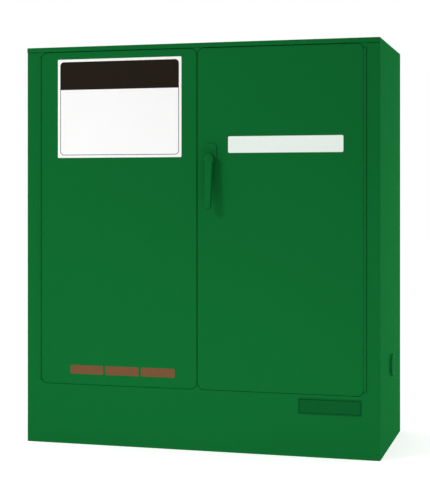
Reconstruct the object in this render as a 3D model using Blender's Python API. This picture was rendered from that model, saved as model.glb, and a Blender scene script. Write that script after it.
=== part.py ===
"""Two-door dangerous goods storage cabinet.

A double-walled sheet steel cupboard over a liquid-tight sump. Two sprung doors hang on
continuous hinges, and a lever on the right-hand door turns a pinion that drives one rod
up and one rod down into the frame. Units are metres, +Z is up and the doors face -Y.
The origin is the middle of the underside.
"""

import math

import bmesh
import bpy
from mathutils import Vector

# Overall size and sheet
WIDTH = 1.070
DEPTH = 0.460
HEIGHT = 1.190
SHEET = 0.0015
SEAT = 0.0003
OVERRUN = 0.004

# Front frame, back from the plane of the doors
ROOF_LIP = 0.014
STILE_WIDTH = 0.042
APRON_HEIGHT = 0.178
REBATE_DEPTH = 0.006
REBATE_LAP = 0.007
FRAME_DEPTH = 0.045

# Cavity between the outer and the inner walls
BACK_GAP = 0.0388
ROOF_GAP = 0.037
BASE_HEIGHT = 0.020
BASE_LIP = 0.060

# Doors
DOOR_HEAD_GAP = 0.003
DOOR_FOOT_GAP = 0.002
CENTRE_GAP = 0.003
DOOR_CORNER = 0.016
DOOR_RETURN = 0.0045
DOOR_DEPTH = 0.040
LINER_INSET = 0.014
LINER_EDGE_INSET = 0.006
LINER_CORNER = 0.008

# Continuous hinges
BARREL_RADIUS = 0.0035
LEAF_THICKNESS = 0.0012
PIN_CLEARANCE = 0.0001
LEAF_WIDTH = 0.016
HINGE_INSET = 0.010
KNUCKLES = 17
KNUCKLE_GAP = 0.0005
CURL_DEGREES = 255
BARREL_STEPS = 10

# Lever, spindle and lock
HANDLE_FROM_EDGE = 0.041
HANDLE_HEIGHT = 0.850
PLATE_WIDTH = 0.034
PLATE_LENGTH = 0.092
PLATE_THICKNESS = 0.003
HUB_RADIUS = 0.014
HUB_REACH = 0.030
LEVER_LENGTH = 0.143
LEVER_WIDTH = 0.024
LEVER_TIP_WIDTH = 0.018
LEVER_THICKNESS = 0.020
LEVER_TIP_THICKNESS = 0.012
LEVER_CRANK = 0.010
LEVER_CROWN = 0.012
LEVER_EDGE = 0.0015
SPINDLE_SIZE = 0.008
SPINDLE_HOLE_RADIUS = 0.0062
SOCKET_DEPTH = 0.009
BARREL_LOCK_RADIUS = 0.0077
BARREL_LOCK_LENGTH = 0.014
BARREL_LOCK_PROUD = 0.001
KEY_SLOT_WIDTH = 0.0014
KEY_SLOT_LENGTH = 0.008
KEY_SLOT_DEPTH = 0.006

# Rod drive
MODULE = 0.0015
PINION_TEETH = 12
PRESSURE_DEGREES = 25
ADDENDUM = 0.0012
DEDENDUM = 0.0015
BACKLASH = 0.00015
PINION_THICKNESS = 0.010
RACK_GAPS_AHEAD = 1
RACK_GAPS_BEHIND = 4
ROD_WIDTH = 0.006
ROD_THICKNESS = 0.008
ROD_DEPTH = 0.020
ROD_PROUD = 0.002
ROD_CHAMFER = 0.0015
ROD_CLEARANCE = 0.0005
KEEP_CLEARANCE = 0.001
FRAME_HOLE_CLEARANCE = 0.0025
KEEP_LENGTH = 0.040
KEEP_WIDTH = 0.026
KEEP_THICKNESS = 0.002
CHANNEL_WIDTH = 0.048
CHANNEL_DEPTH = 0.029

# Vents through the side walls
VENT_SETBACK = 0.224
VENT_RISE = 0.0558
VENT_FROM_TOP = 0.115
VENT_FLANGE_RADIUS = 0.036
VENT_FLANGE_THICKNESS = 0.003
VENT_TUBE_RADIUS = 0.026
VENT_TUBE_WALL = 0.002
VENT_TUBE_PROUD = 0.003
BUNG_RADIUS = 0.033
BUNG_THICKNESS = 0.0067
BUNG_STEM_LENGTH = 0.018
BUNG_STEM_WALL = 0.003
BUNG_CLEARANCE = 0.0006
BUNG_CORNER = 0.002
GRIP_LENGTH = 0.044
GRIP_WIDTH = 0.008
GRIP_DEPTH = 0.004
ARRESTOR_THICKNESS = 0.002
ARRESTOR_SETBACK = 0.006
ARRESTOR_HOLE_RADIUS = 0.0022
ARRESTOR_HOLE_RINGS = ((0.006, 4), (0.015, 9))
ROUND_STEPS = 32
HOLE_STEPS = 6
BEARING_STEPS = 12

# Sump, shelves and their supports; each shelf hangs from a slot counted from the bottom
SHELF_SLOTS = (("lower_shelf", 4), ("upper_shelf", 10))
GRATE_HEIGHT = 0.140
GRATE_CLEARANCE = 0.006
SHELF_FLANGE = 0.025
SHELF_FRONT_SETBACK = 0.010
SHELF_BACK_CLEARANCE = 0.003
SHELF_END_CLEARANCE = 0.0025
PERFORATION_LENGTH = 0.070
PERFORATION_WIDTH = 0.012
PERFORATION_PITCH = 0.115
PERFORATION_ROW_PITCH = 0.080
PERFORATION_ROWS = 3
UPRIGHT_WIDTH = 0.025
UPRIGHT_DEPTH = 0.006
UPRIGHT_END_GAP = 0.040
UPRIGHT_SETBACK = 0.055
SLOT_PITCH = 0.050
SLOT_HEIGHT = 0.012
SLOT_WIDTH = 0.004
CLIP_THICKNESS = 0.002
CLIP_WIDTH = 0.016
CLIP_HEIGHT = 0.024
CLIP_REACH = 0.016
TONGUE_CLEARANCE = 0.0005
TONGUE_LENGTH = 0.0035

# Blank plates on the front
SIGN_HEIGHT = 0.295
SIGN_HINGE_MARGIN = 0.054
SIGN_EDGE_MARGIN = 0.0455
SIGN_TOP_MARGIN = 0.021
SIGN_CORNER = 0.007
PLATE_SHEET = 0.0008
NAME_WIDTH = 0.183
NAME_HEIGHT = 0.046
NAME_SIDE_MARGIN = 0.052
NAME_TOP_MARGIN = 0.010
NAME_CORNER = 0.003

CORNER_STEPS = 6

# Places worked out from the sizes above
SIDE = WIDTH / 2
INSIDE = SIDE - SHEET - SEAT
ROOF_FRONT = -DEPTH / 2
BACK = DEPTH / 2
FACE = ROOF_FRONT + SHEET + SEAT
BEHIND_FACE = FACE + SHEET + SEAT
UNDER_ROOF = HEIGHT - SHEET - SEAT

AXIS_X = SIDE - STILE_WIDTH
BARREL_SPACE = BARREL_RADIUS + SEAT
OPENING_SIDE = AXIS_X + BARREL_SPACE
DOOR_SIDE = AXIS_X - BARREL_SPACE
DOOR_EDGE = CENTRE_GAP / 2
DOOR_BOTTOM = APRON_HEIGHT + DOOR_FOOT_GAP
DOOR_TOP = HEIGHT - ROOF_LIP - DOOR_HEAD_GAP
HEAD_UNDERSIDE = DOOR_TOP - REBATE_LAP
SILL_TOP = DOOR_BOTTOM + REBATE_LAP
REBATE_FACE = FACE + REBATE_DEPTH + SEAT
KEEP_FRONT = REBATE_FACE + SHEET + SEAT
LINER_FRONT = FACE + FRAME_DEPTH + SEAT
FLANGE_BACK = LINER_FRONT + SHEET + SEAT

LINER_BACK_FACE = BACK - SHEET - BACK_GAP
LINER_TOP_FACE = UNDER_ROOF - ROOF_GAP
SUMP_TOP = SILL_TOP - SHEET - SEAT
SUMP_BOTTOM = BASE_HEIGHT + SEAT
SUMP_FLOOR = SUMP_BOTTOM + SHEET

DOOR_LINER_TOP = DOOR_TOP - LINER_INSET
DOOR_LINER_BOTTOM = DOOR_BOTTOM + LINER_INSET
DOOR_LINER_SIDE = DOOR_SIDE - SHEET - SEAT
DOOR_LINER_EDGE = DOOR_EDGE + LINER_EDGE_INSET
SKIN_BACK = FACE + SHEET + SEAT

HANDLE_X = DOOR_EDGE + HANDLE_FROM_EDGE
PLATE_FRONT = FACE - SEAT - PLATE_THICKNESS
HUB_BACK = PLATE_FRONT - SEAT
HUB_FRONT = FACE - HUB_REACH
PITCH_RADIUS = MODULE * PINION_TEETH / 2
ROD_Y = FACE + ROD_DEPTH
ROD_INNER = PITCH_RADIUS + DEDENDUM
ROD_OUTER = ROD_INNER + ROD_WIDTH
ROD_TOP = DOOR_LINER_TOP + ROD_PROUD
ROD_BOTTOM = DOOR_LINER_BOTTOM - ROD_PROUD
CHANNEL_BACK = SKIN_BACK + CHANNEL_DEPTH

VENT_Y = ROOF_FRONT + VENT_SETBACK
VENT_LOW = SUMP_TOP + VENT_RISE
VENT_HIGH = HEIGHT - VENT_FROM_TOP
UPRIGHT_FACE = OPENING_SIDE - SEAT - UPRIGHT_DEPTH
CLIP_FACE = UPRIGHT_FACE - SEAT - CLIP_THICKNESS
SHELF_SIDE = CLIP_FACE - SHELF_END_CLEARANCE
SHELF_FRONT = LINER_FRONT + SHELF_FRONT_SETBACK
SHELF_BACK = LINER_BACK_FACE - SHEET - SHELF_BACK_CLEARANCE
UPRIGHT_BOTTOM = SUMP_TOP + UPRIGHT_END_GAP
UPRIGHT_TOP = LINER_TOP_FACE - UPRIGHT_END_GAP
UPRIGHT_ROWS = (SHELF_FRONT + UPRIGHT_SETBACK, SHELF_BACK - UPRIGHT_SETBACK)

SIDES = (("left", -1), ("right", 1))

FINISHES = {
    "green_powder_coat": ((0.006, 0.130, 0.024), 0.38, 0.0),
    "green_liner_coat": ((0.006, 0.120, 0.024), 0.45, 0.0),
    "bright_steel": ((0.55, 0.56, 0.57), 0.35, 1.0),
    "white_card": ((0.86, 0.86, 0.84), 0.50, 0.0),
    "dark_plate": ((0.010, 0.045, 0.016), 0.45, 0.0),
    "lock_nickel": ((0.45, 0.45, 0.44), 0.30, 1.0),
}


def clear_scene():
    """Start from an empty scene."""
    for item in list(bpy.data.objects):
        bpy.data.objects.remove(item, do_unlink=True)


def finish(name):
    """The material of one finish, made the first time it is asked for."""
    found = bpy.data.materials.get(name)
    if found:
        return found
    colour, roughness, metallic = FINISHES[name]
    made = bpy.data.materials.new(name)
    made.use_nodes = True
    shader = made.node_tree.nodes["Principled BSDF"]
    shader.inputs["Base Color"].default_value = (*colour, 1.0)
    shader.inputs["Roughness"].default_value = roughness
    shader.inputs["Metallic"].default_value = metallic
    made.diffuse_color = (*colour, 1.0)
    return made


def pivot(name, place, parent=None):
    """An empty on a joint's axis, which carries the pieces that move about it."""
    empty = bpy.data.objects.new(name, None)
    empty["place"] = place
    empty.location = place
    if parent:
        empty.parent = parent
        empty.location = Vector(place) - Vector(parent["place"])
    bpy.context.collection.objects.link(empty)
    return empty


def solid(name, coat, shapes, carrier=None, smooth=False):
    """One object from functions that each add a closed shape to its mesh."""
    bm = bmesh.new()
    for shape in shapes:
        shape(bm)
    if carrier:
        shift = -Vector(carrier["place"])
        bmesh.ops.translate(bm, verts=bm.verts, vec=shift)
    bmesh.ops.recalc_face_normals(bm, faces=bm.faces)
    mesh = bpy.data.meshes.new(name)
    bm.to_mesh(mesh)
    bm.free()
    if smooth:
        mesh.shade_smooth()
        mesh.set_sharp_from_angle(angle=math.radians(35))
    piece = bpy.data.objects.new(name, mesh)
    if coat:
        mesh.materials.append(finish(coat))
    if carrier:
        piece.parent = carrier
    bpy.context.collection.objects.link(piece)
    return piece


def combine(piece, name, shapes, carrier=None, operation="DIFFERENCE"):
    """Cut shapes out of a piece, or join them to it, with one hidden tool object."""
    tool = solid(name, None, shapes, carrier)
    tool.hide_render = True
    tool.display_type = "WIRE"
    step = piece.modifiers.new(name, "BOOLEAN")
    step.operation = operation
    step.solver = "EXACT"
    step.object = tool
    return piece


def at(axis, first, second, along):
    """A point from two coordinates across an axis and one along it."""
    if axis == "x":
        return Vector((along, first, second))
    if axis == "y":
        return Vector((first, along, second))
    return Vector((first, second, along))


def prism(axis, outline, start, end):
    """A closed outline drawn out along an axis."""

    def add(bm):
        corners = [bm.verts.new(at(axis, a, b, start)) for a, b in outline]
        cap = bm.faces.new(corners)
        drawn = bmesh.ops.extrude_face_region(bm, geom=[cap])["geom"]
        moved = [v for v in drawn if isinstance(v, bmesh.types.BMVert)]
        bmesh.ops.translate(bm, verts=moved, vec=at(axis, 0, 0, end - start))

    return add


def box(low, high):
    """A block between two corners."""
    outline = rectangle(low[0], low[1], high[0], high[1])
    return prism("z", outline, low[2], high[2])


def rectangle(left, bottom, right, top):
    """The four corners of a rectangle."""
    return [(left, bottom), (right, bottom), (right, top), (left, top)]


def rounded(left, bottom, right, top, radius, steps=CORNER_STEPS):
    """A rectangle with round corners."""
    centres = (
        (right - radius, bottom + radius, -90),
        (right - radius, top - radius, 0),
        (left + radius, top - radius, 90),
        (left + radius, bottom + radius, 180),
    )
    points = []
    for across, up, start in centres:
        for step in range(steps + 1):
            angle = math.radians(start + 90 * step / steps)
            points.append((across + radius * math.cos(angle), up + radius * math.sin(angle)))
    return points


def circle(across, up, radius, steps):
    """A regular outline round a centre."""
    turns = [2 * math.pi * (step + 0.5) / steps for step in range(steps)]
    return [(across + radius * math.cos(t), up + radius * math.sin(t)) for t in turns]


def folded(path, thickness=SHEET):
    """The outline of a bent sheet: its outer face is the path, its body lies to the left."""
    normals = []
    for (a0, b0), (a1, b1) in zip(path, path[1:]):
        length = math.hypot(a1 - a0, b1 - b0)
        normals.append(Vector((-(b1 - b0) / length, (a1 - a0) / length)))
    inner = []
    for index, point in enumerate(path):
        before = normals[max(index - 1, 0)]
        after = normals[min(index, len(normals) - 1)]
        mitre = (before + after) / (1 + before.dot(after))
        inner.append((point[0] + thickness * mitre.x, point[1] + thickness * mitre.y))
    return list(path) + inner[::-1]


def turned(axis, centre, profile, steps=ROUND_STEPS):
    """A profile of (radius, station) points spun about an axis through a centre."""
    directions = {"x": Vector((1, 0, 0)), "y": Vector((0, 1, 0)), "z": Vector((0, 0, 1))}

    def add(bm):
        middle = at(axis, centre[0], centre[1], 0)
        points = [at(axis, centre[0] + radius, centre[1], along) for radius, along in profile]
        corners = [bm.verts.new(point) for point in points]
        closed = all(radius > 0 for radius, _ in profile)
        pairs = list(zip(corners, corners[1:]))
        if closed:
            pairs.append((corners[-1], corners[0]))
        edges = [bm.edges.new(pair) for pair in pairs]
        bmesh.ops.spin(
            bm,
            geom=edges + corners,
            cent=middle,
            axis=directions[axis],
            angle=2 * math.pi,
            steps=steps,
            use_merge=True,
        )
        bmesh.ops.remove_doubles(bm, verts=bm.verts, dist=SEAT / 30)

    return add


def across(side, first, second):
    """A pair of first coordinates on the chosen side, lower one first."""
    return sorted((side * first, side * second))


def build_outer_shell():
    """Side, back, roof and base panels."""
    for name, side in SIDES:
        low, high = across(side, SIDE - SHEET, SIDE)
        panel = solid(
            f"{name}_side_panel",
            "green_powder_coat",
            [box((low, FACE, 0), (high, BACK, UNDER_ROOF))],
        )
        hole_radius = VENT_TUBE_RADIUS + SEAT
        height = VENT_LOW if side > 0 else VENT_HIGH
        hole = circle(VENT_Y, height, hole_radius, ROUND_STEPS)
        combine(
            panel,
            f"{name}_side_panel_vent_cut",
            [prism("x", hole, low - OVERRUN, high + OVERRUN)],
        )

    solid(
        "back_panel",
        "green_powder_coat",
        [box((-INSIDE, BACK - SHEET, 0), (INSIDE, BACK, UNDER_ROOF))],
    )

    roof_path = [(BACK, HEIGHT), (ROOF_FRONT, HEIGHT), (ROOF_FRONT, HEIGHT - ROOF_LIP)]
    solid("roof_panel", "green_powder_coat", [prism("x", folded(roof_path), -SIDE, SIDE)])

    base_back = BACK - SHEET - SEAT
    base_path = [
        (BEHIND_FACE + BASE_LIP, BASE_HEIGHT),
        (BEHIND_FACE, BASE_HEIGHT),
        (BEHIND_FACE, 0),
        (base_back, 0),
        (base_back, BASE_HEIGHT),
        (base_back - BASE_LIP, BASE_HEIGHT),
    ]
    solid("base_panel", "green_powder_coat", [prism("x", folded(base_path), -INSIDE, INSIDE)])


def build_front_frame():
    """Stiles, header, apron, and the rebates that the doors close against."""
    for name, side in SIDES:
        path = [
            (side * INSIDE, FACE),
            (side * OPENING_SIDE, FACE),
            (side * OPENING_SIDE, FACE + FRAME_DEPTH),
        ]
        if side > 0:
            path.reverse()
        outline = folded(path)
        bottom = APRON_HEIGHT + SEAT
        solid(
            f"{name}_stile",
            "green_powder_coat",
            [prism("z", outline, bottom, UNDER_ROOF)],
        )

    half = OPENING_SIDE - SEAT
    header_fold = HEIGHT - ROOF_LIP + SEAT
    header_path = [
        (FACE + REBATE_DEPTH, header_fold),
        (FACE, header_fold),
        (FACE, UNDER_ROOF),
    ]
    solid(
        "header_rail",
        "green_powder_coat",
        [prism("x", folded(header_path[::-1]), -half, half)],
    )

    head_path = [
        (REBATE_FACE, UNDER_ROOF),
        (REBATE_FACE, HEAD_UNDERSIDE),
        (FLANGE_BACK, HEAD_UNDERSIDE),
    ]
    head = solid("door_head", "green_powder_coat", [prism("x", folded(head_path), -half, half)])
    head_low = HEAD_UNDERSIDE - OVERRUN
    head_high = HEAD_UNDERSIDE + SHEET + OVERRUN
    cut_rod_hole(head, "door_head", 1, FRAME_HOLE_CLEARANCE, head_low, head_high)

    apron_path = [(FACE + REBATE_DEPTH, APRON_HEIGHT), (FACE, APRON_HEIGHT), (FACE, 0)]
    solid("sump_apron", "green_powder_coat", [prism("x", folded(apron_path), -INSIDE, INSIDE)])

    sill_foot = APRON_HEIGHT - REBATE_LAP
    sill_path = [(FLANGE_BACK, SILL_TOP), (REBATE_FACE, SILL_TOP), (REBATE_FACE, sill_foot)]
    sill = solid("door_sill", "green_powder_coat", [prism("x", folded(sill_path), -half, half)])
    sill_low = SILL_TOP - SHEET - OVERRUN
    sill_high = SILL_TOP + OVERRUN
    cut_rod_hole(sill, "door_sill", -1, FRAME_HOLE_CLEARANCE, sill_low, sill_high)


def rod_section(end, clearance):
    """The outline of a rod, grown by a clearance: +1 is the upper rod, -1 the lower."""
    left, right = across(end, ROD_INNER, ROD_OUTER)
    half = ROD_THICKNESS / 2
    return rectangle(
        HANDLE_X + left - clearance,
        ROD_Y - half - clearance,
        HANDLE_X + right + clearance,
        ROD_Y + half + clearance,
    )


def cut_rod_hole(piece, name, end, clearance, low, high, carrier=None):
    """A hole for the upper or the lower rod."""
    shape = prism("z", rod_section(end, clearance), low, high)
    combine(piece, f"{name}_rod_hole_{'upper' if end > 0 else 'lower'}", [shape], carrier)


def build_keeps():
    """Plates behind the head and the sill that take the thrown rods."""
    middle = HANDLE_X
    seats = (
        ("upper_keep", 1, HEAD_UNDERSIDE + SHEET + SEAT),
        ("lower_keep", -1, SILL_TOP - SHEET - SEAT - KEEP_THICKNESS),
    )
    for name, end, low in seats:
        centre = middle + end * (ROD_INNER + ROD_OUTER) / 2
        outline = rectangle(
            centre - KEEP_LENGTH / 2,
            KEEP_FRONT,
            centre + KEEP_LENGTH / 2,
            KEEP_FRONT + KEEP_WIDTH,
        )
        high = low + KEEP_THICKNESS
        keep = solid(name, "bright_steel", [prism("z", outline, low, high)])
        cut_rod_hole(keep, name, end, KEEP_CLEARANCE, low - OVERRUN, high + OVERRUN)


def build_inner_walls():
    """Inner side, back and top walls round the storage space."""
    side_top = LINER_TOP_FACE - SHEET - SEAT
    for name, side in SIDES:
        low, high = across(side, OPENING_SIDE, OPENING_SIDE + SHEET)
        wall = solid(
            f"liner_{name}",
            "green_liner_coat",
            [box((low, LINER_FRONT, SUMP_TOP + SEAT), (high, LINER_BACK_FACE, side_top))],
        )
        height = VENT_LOW if side > 0 else VENT_HIGH
        hole = circle(VENT_Y, height, VENT_TUBE_RADIUS + SEAT, ROUND_STEPS)
        combine(
            wall,
            f"liner_{name}_vent_cut",
            [prism("x", hole, low - OVERRUN, high + OVERRUN)],
        )

    half = OPENING_SIDE - SEAT
    wall_front = LINER_BACK_FACE - SHEET
    solid(
        "liner_back",
        "green_liner_coat",
        [box((-half, wall_front, SUMP_TOP + SEAT), (half, LINER_BACK_FACE, side_top))],
    )

    top_path = [
        (LINER_FRONT, HEAD_UNDERSIDE - SEAT),
        (LINER_FRONT, LINER_TOP_FACE - SHEET),
        (LINER_BACK_FACE, LINER_TOP_FACE - SHEET),
    ]
    solid(
        "liner_top",
        "green_liner_coat",
        [prism("x", folded(top_path), -OPENING_SIDE - SHEET, OPENING_SIDE + SHEET)],
    )


def build_sump():
    """The welded tray that holds a spill, and the grate that stands in it."""
    outer = OPENING_SIDE + SHEET
    tray = solid(
        "sump_tray",
        "green_liner_coat",
        [box((-outer, LINER_FRONT, SUMP_BOTTOM), (outer, LINER_BACK_FACE, SUMP_TOP))],
    )
    combine(
        tray,
        "sump_tray_hollow",
        [
            box(
                (-OPENING_SIDE, LINER_FRONT + SHEET, SUMP_FLOOR),
                (OPENING_SIDE, LINER_BACK_FACE - SHEET, SUMP_TOP + OVERRUN),
            )
        ],
    )

    rise = pivot("sump_grate_lift", (0, 0, SUMP_FLOOR + GRATE_HEIGHT))
    front = LINER_FRONT + SHEET + GRATE_CLEARANCE
    back = LINER_BACK_FACE - SHEET - GRATE_CLEARANCE
    foot = SUMP_FLOOR + SEAT
    top = SUMP_FLOOR + GRATE_HEIGHT
    half = OPENING_SIDE - GRATE_CLEARANCE
    path = [(back, foot), (back, top), (front, top), (front, foot)]
    grate = solid(
        "sump_grate",
        "green_liner_coat",
        [prism("x", folded(path), -half, half)],
        rise,
    )
    perforate(grate, "sump_grate", front, back, half, top, rise)


def perforate(piece, name, front, back, half, top, carrier):
    """Rows of long holes through a level sheet, as many as fit its length."""
    middle = (front + back) / 2
    room = 2 * half - PERFORATION_PITCH
    count = int(room / PERFORATION_PITCH)
    holes = []
    for row in range(PERFORATION_ROWS):
        y = middle + (row - (PERFORATION_ROWS - 1) / 2) * PERFORATION_ROW_PITCH
        for column in range(count):
            x = (column - (count - 1) / 2) * PERFORATION_PITCH
            low = (x - PERFORATION_LENGTH / 2, y - PERFORATION_WIDTH / 2, top - SHEET - OVERRUN)
            high = (x + PERFORATION_LENGTH / 2, y + PERFORATION_WIDTH / 2, top + OVERRUN)
            holes.append(box(low, high))
    combine(piece, f"{name}_holes", holes, carrier)


def build_shelf(name, height):
    """One perforated shelf with its edges turned down."""
    rise = pivot(f"{name}_lift", (0, 0, height))
    shelf = solid(
        name,
        "green_liner_coat",
        [
            box(
                (-SHELF_SIDE, SHELF_FRONT, height - SHELF_FLANGE),
                (SHELF_SIDE, SHELF_BACK, height),
            )
        ],
        rise,
    )
    inner = SHELF_SIDE - SHEET
    combine(
        shelf,
        f"{name}_hollow",
        [
            box(
                (-inner, SHELF_FRONT + SHEET, height - SHELF_FLANGE - OVERRUN),
                (inner, SHELF_BACK - SHEET, height - SHEET),
            )
        ],
        rise,
    )
    perforate(shelf, name, SHELF_FRONT, SHELF_BACK, SHELF_SIDE, height, rise)


def slot_heights():
    """The height of each slot's middle in the uprights."""
    count = int((UPRIGHT_TOP - UPRIGHT_BOTTOM) / SLOT_PITCH)
    return [UPRIGHT_BOTTOM + (index + 0.5) * SLOT_PITCH for index in range(count)]


def clip_foot(slot):
    """The underside of a clip that hangs in a slot."""
    return slot_heights()[slot] - CLIP_HEIGHT / 2


def shelf_height(slot):
    """The top of a shelf whose clips hang in a slot."""
    return clip_foot(slot) + CLIP_THICKNESS + SEAT + SHELF_FLANGE


def build_upright(name, side, y):
    """One slotted channel on a side wall, with its web towards the shelves."""
    half = UPRIGHT_WIDTH / 2
    wall = OPENING_SIDE - SEAT
    path = [
        (side * wall, y + half),
        (side * UPRIGHT_FACE, y + half),
        (side * UPRIGHT_FACE, y - half),
        (side * wall, y - half),
    ]
    outline = folded(path if side > 0 else path[::-1])
    upright = solid(name, "bright_steel", [prism("z", outline, UPRIGHT_BOTTOM, UPRIGHT_TOP)])
    near, far = across(side, UPRIGHT_FACE - OVERRUN, UPRIGHT_FACE + SHEET + SEAT)
    slots = [
        box(
            (near, y - SLOT_WIDTH / 2, height - SLOT_HEIGHT / 2),
            (far, y + SLOT_WIDTH / 2, height + SLOT_HEIGHT / 2),
        )
        for height in slot_heights()
    ]
    combine(upright, f"{name}_slots", slots)


def build_clip(name, side, y, slot):
    """One bracket hooked into a slot, its foot under the shelf's edge."""
    foot = clip_foot(slot)
    middle = slot_heights()[slot]
    path = [
        (side * (CLIP_FACE - CLIP_REACH), foot),
        (side * (CLIP_FACE + CLIP_THICKNESS), foot),
        (side * (CLIP_FACE + CLIP_THICKNESS), foot + CLIP_HEIGHT),
    ]
    if side < 0:
        path.reverse()
    outline = folded(path, CLIP_THICKNESS)
    half = CLIP_WIDTH / 2
    clip = solid(name, "bright_steel", [prism("y", outline, y - half, y + half)])
    near, far = across(side, CLIP_FACE + CLIP_THICKNESS / 2, UPRIGHT_FACE + TONGUE_LENGTH)
    tongue_half = SLOT_WIDTH / 2 - TONGUE_CLEARANCE
    tongue_rise = SLOT_HEIGHT / 2 - TONGUE_CLEARANCE
    tongue = box(
        (near, y - tongue_half, middle - tongue_rise),
        (far, y + tongue_half, middle + tongue_rise),
    )
    combine(clip, f"{name}_tongue", [tongue], operation="UNION")


def build_shelving():
    """Four uprights, two shelves and four clips under each shelf."""
    rows = (("front", UPRIGHT_ROWS[0]), ("back", UPRIGHT_ROWS[1]))
    for side_name, side in SIDES:
        for row_name, y in rows:
            build_upright(f"shelf_upright_{side_name}_{row_name}", side, y)
    for shelf_name, slot in SHELF_SLOTS:
        build_shelf(shelf_name, shelf_height(slot))
        for side_name, side in SIDES:
            for row_name, y in rows:
                build_clip(f"{shelf_name}_clip_{side_name}_{row_name}", side, y, slot)


def build_vent(name, side, height):
    """A flanged tube through both walls, its flash arrestor and its push-in bung."""
    centre = (VENT_Y, height)
    seat = SIDE + SEAT
    flange_front = seat + VENT_FLANGE_THICKNESS
    inner_end = OPENING_SIDE - VENT_TUBE_PROUD
    bore = VENT_TUBE_RADIUS - VENT_TUBE_WALL
    profile = [
        (bore, inner_end),
        (VENT_TUBE_RADIUS, inner_end),
        (VENT_TUBE_RADIUS, seat),
        (VENT_FLANGE_RADIUS, seat),
        (VENT_FLANGE_RADIUS, flange_front),
        (bore, flange_front),
    ]
    stations = [(radius, side * along) for radius, along in profile]
    tube_name = f"vent_tube_{name}"
    solid(tube_name, "green_powder_coat", [turned("x", centre, stations)], smooth=True)

    disc_inner = inner_end + ARRESTOR_SETBACK
    disc_outer = disc_inner + ARRESTOR_THICKNESS
    low, high = across(side, disc_inner, disc_outer)
    outline = circle(*centre, bore - SEAT, ROUND_STEPS)
    disc = solid(f"flash_arrestor_{name}", "bright_steel", [prism("x", outline, low, high)])
    holes = []
    for ring_radius, count in ARRESTOR_HOLE_RINGS:
        for y, z in circle(*centre, ring_radius, count):
            hole = circle(y, z, ARRESTOR_HOLE_RADIUS, HOLE_STEPS)
            holes.append(prism("x", hole, low - OVERRUN, high + OVERRUN))
    combine(disc, f"flash_arrestor_{name}_holes", holes)

    draw = pivot(f"vent_bung_{name}_draw", (side * SIDE, VENT_Y, height))
    head_back = flange_front + SEAT
    head_front = head_back + BUNG_THICKNESS
    stem = bore - BUNG_CLEARANCE
    cup = stem - BUNG_STEM_WALL
    stem_end = head_back - BUNG_STEM_LENGTH
    bung_profile = [
        (0, head_front),
        (BUNG_RADIUS - BUNG_CORNER, head_front),
        (BUNG_RADIUS, head_front - BUNG_CORNER),
        (BUNG_RADIUS, head_back),
        (stem, head_back),
        (stem, stem_end),
        (cup, stem_end),
        (cup, head_back),
        (0, head_back),
    ]
    stations = [(radius, side * along) for radius, along in bung_profile]
    bung_name = f"vent_bung_{name}"
    bung = solid(bung_name, "green_powder_coat", [turned("x", centre, stations)], draw, True)
    near, far = across(side, head_front - GRIP_DEPTH, head_front + OVERRUN)
    ridge = GRIP_WIDTH / 2
    grips = []
    for offset in (-1, 1):
        middle = VENT_Y + offset * GRIP_WIDTH
        low = (near, middle - ridge, height - GRIP_LENGTH / 2)
        high = (far, middle + ridge, height + GRIP_LENGTH / 2)
        grips.append(box(low, high))
    combine(bung, f"{bung_name}_grips", grips, draw)


def knuckle_ends():
    """The bottom and the top of each knuckle, from the foot of a hinge up."""
    bottom = DOOR_BOTTOM + HINGE_INSET
    pitch = (DOOR_TOP - HINGE_INSET - bottom) / KNUCKLES
    return [(bottom + index * pitch, bottom + (index + 1) * pitch) for index in range(KNUCKLES)]


def leaf_outline(side, hand):
    """A hinge leaf with its curl: hand +1 lies towards the stile, -1 towards the door."""
    inner = BARREL_RADIUS - LEAF_THICKNESS
    outline = []
    turns = [math.radians(CURL_DEGREES) * step / BARREL_STEPS for step in range(BARREL_STEPS + 1)]
    for turn in turns:
        outline.append((BARREL_RADIUS * math.cos(turn), -BARREL_RADIUS * math.sin(turn)))
    for turn in reversed(turns):
        outline.append((inner * math.cos(turn), -inner * math.sin(turn)))
    outline += [(inner, LEAF_WIDTH), (BARREL_RADIUS, LEAF_WIDTH)]
    return [(side * (AXIS_X + hand * a), FACE + b) for a, b in outline]


def cut_knuckles(leaf, name, side, first, carrier=None):
    """Take away every second length of curl, where the other leaf's knuckles lie."""
    reach = BARREL_RADIUS + OVERRUN
    back = FACE + BARREL_RADIUS + KNUCKLE_GAP
    low, high = across(side, AXIS_X - reach, AXIS_X + reach)
    gaps = []
    for index, (bottom, top) in enumerate(knuckle_ends()):
        if index % 2 == first:
            start = bottom - (OVERRUN if index == 0 else KNUCKLE_GAP / 2)
            end = top + (OVERRUN if index == KNUCKLES - 1 else KNUCKLE_GAP / 2)
            gaps.append(box((low, FACE - reach, start), (high, back, end)))
    combine(leaf, f"{name}_gaps", gaps, carrier)


def build_hinge(name, side, swing):
    """Two curled leaves and the pin through their knuckles."""
    bottom = knuckle_ends()[0][0]
    top = knuckle_ends()[-1][1]
    frame_name = f"{name}_hinge_frame_leaf"
    frame_shape = prism("z", leaf_outline(side, 1), bottom, top)
    frame_leaf = solid(frame_name, "green_powder_coat", [frame_shape], smooth=True)
    cut_knuckles(frame_leaf, frame_name, side, 1)

    door_name = f"{name}_hinge_door_leaf"
    door_shape = prism("z", leaf_outline(side, -1), bottom, top)
    door_leaf = solid(door_name, "green_powder_coat", [door_shape], swing, True)
    cut_knuckles(door_leaf, door_name, side, 0, swing)

    pin_radius = BARREL_RADIUS - LEAF_THICKNESS - PIN_CLEARANCE
    outline = circle(side * AXIS_X, FACE, pin_radius, BARREL_STEPS)
    pin_name = f"{name}_hinge_pin"
    solid(pin_name, "bright_steel", [prism("z", outline, bottom, top)], smooth=True)


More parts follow.
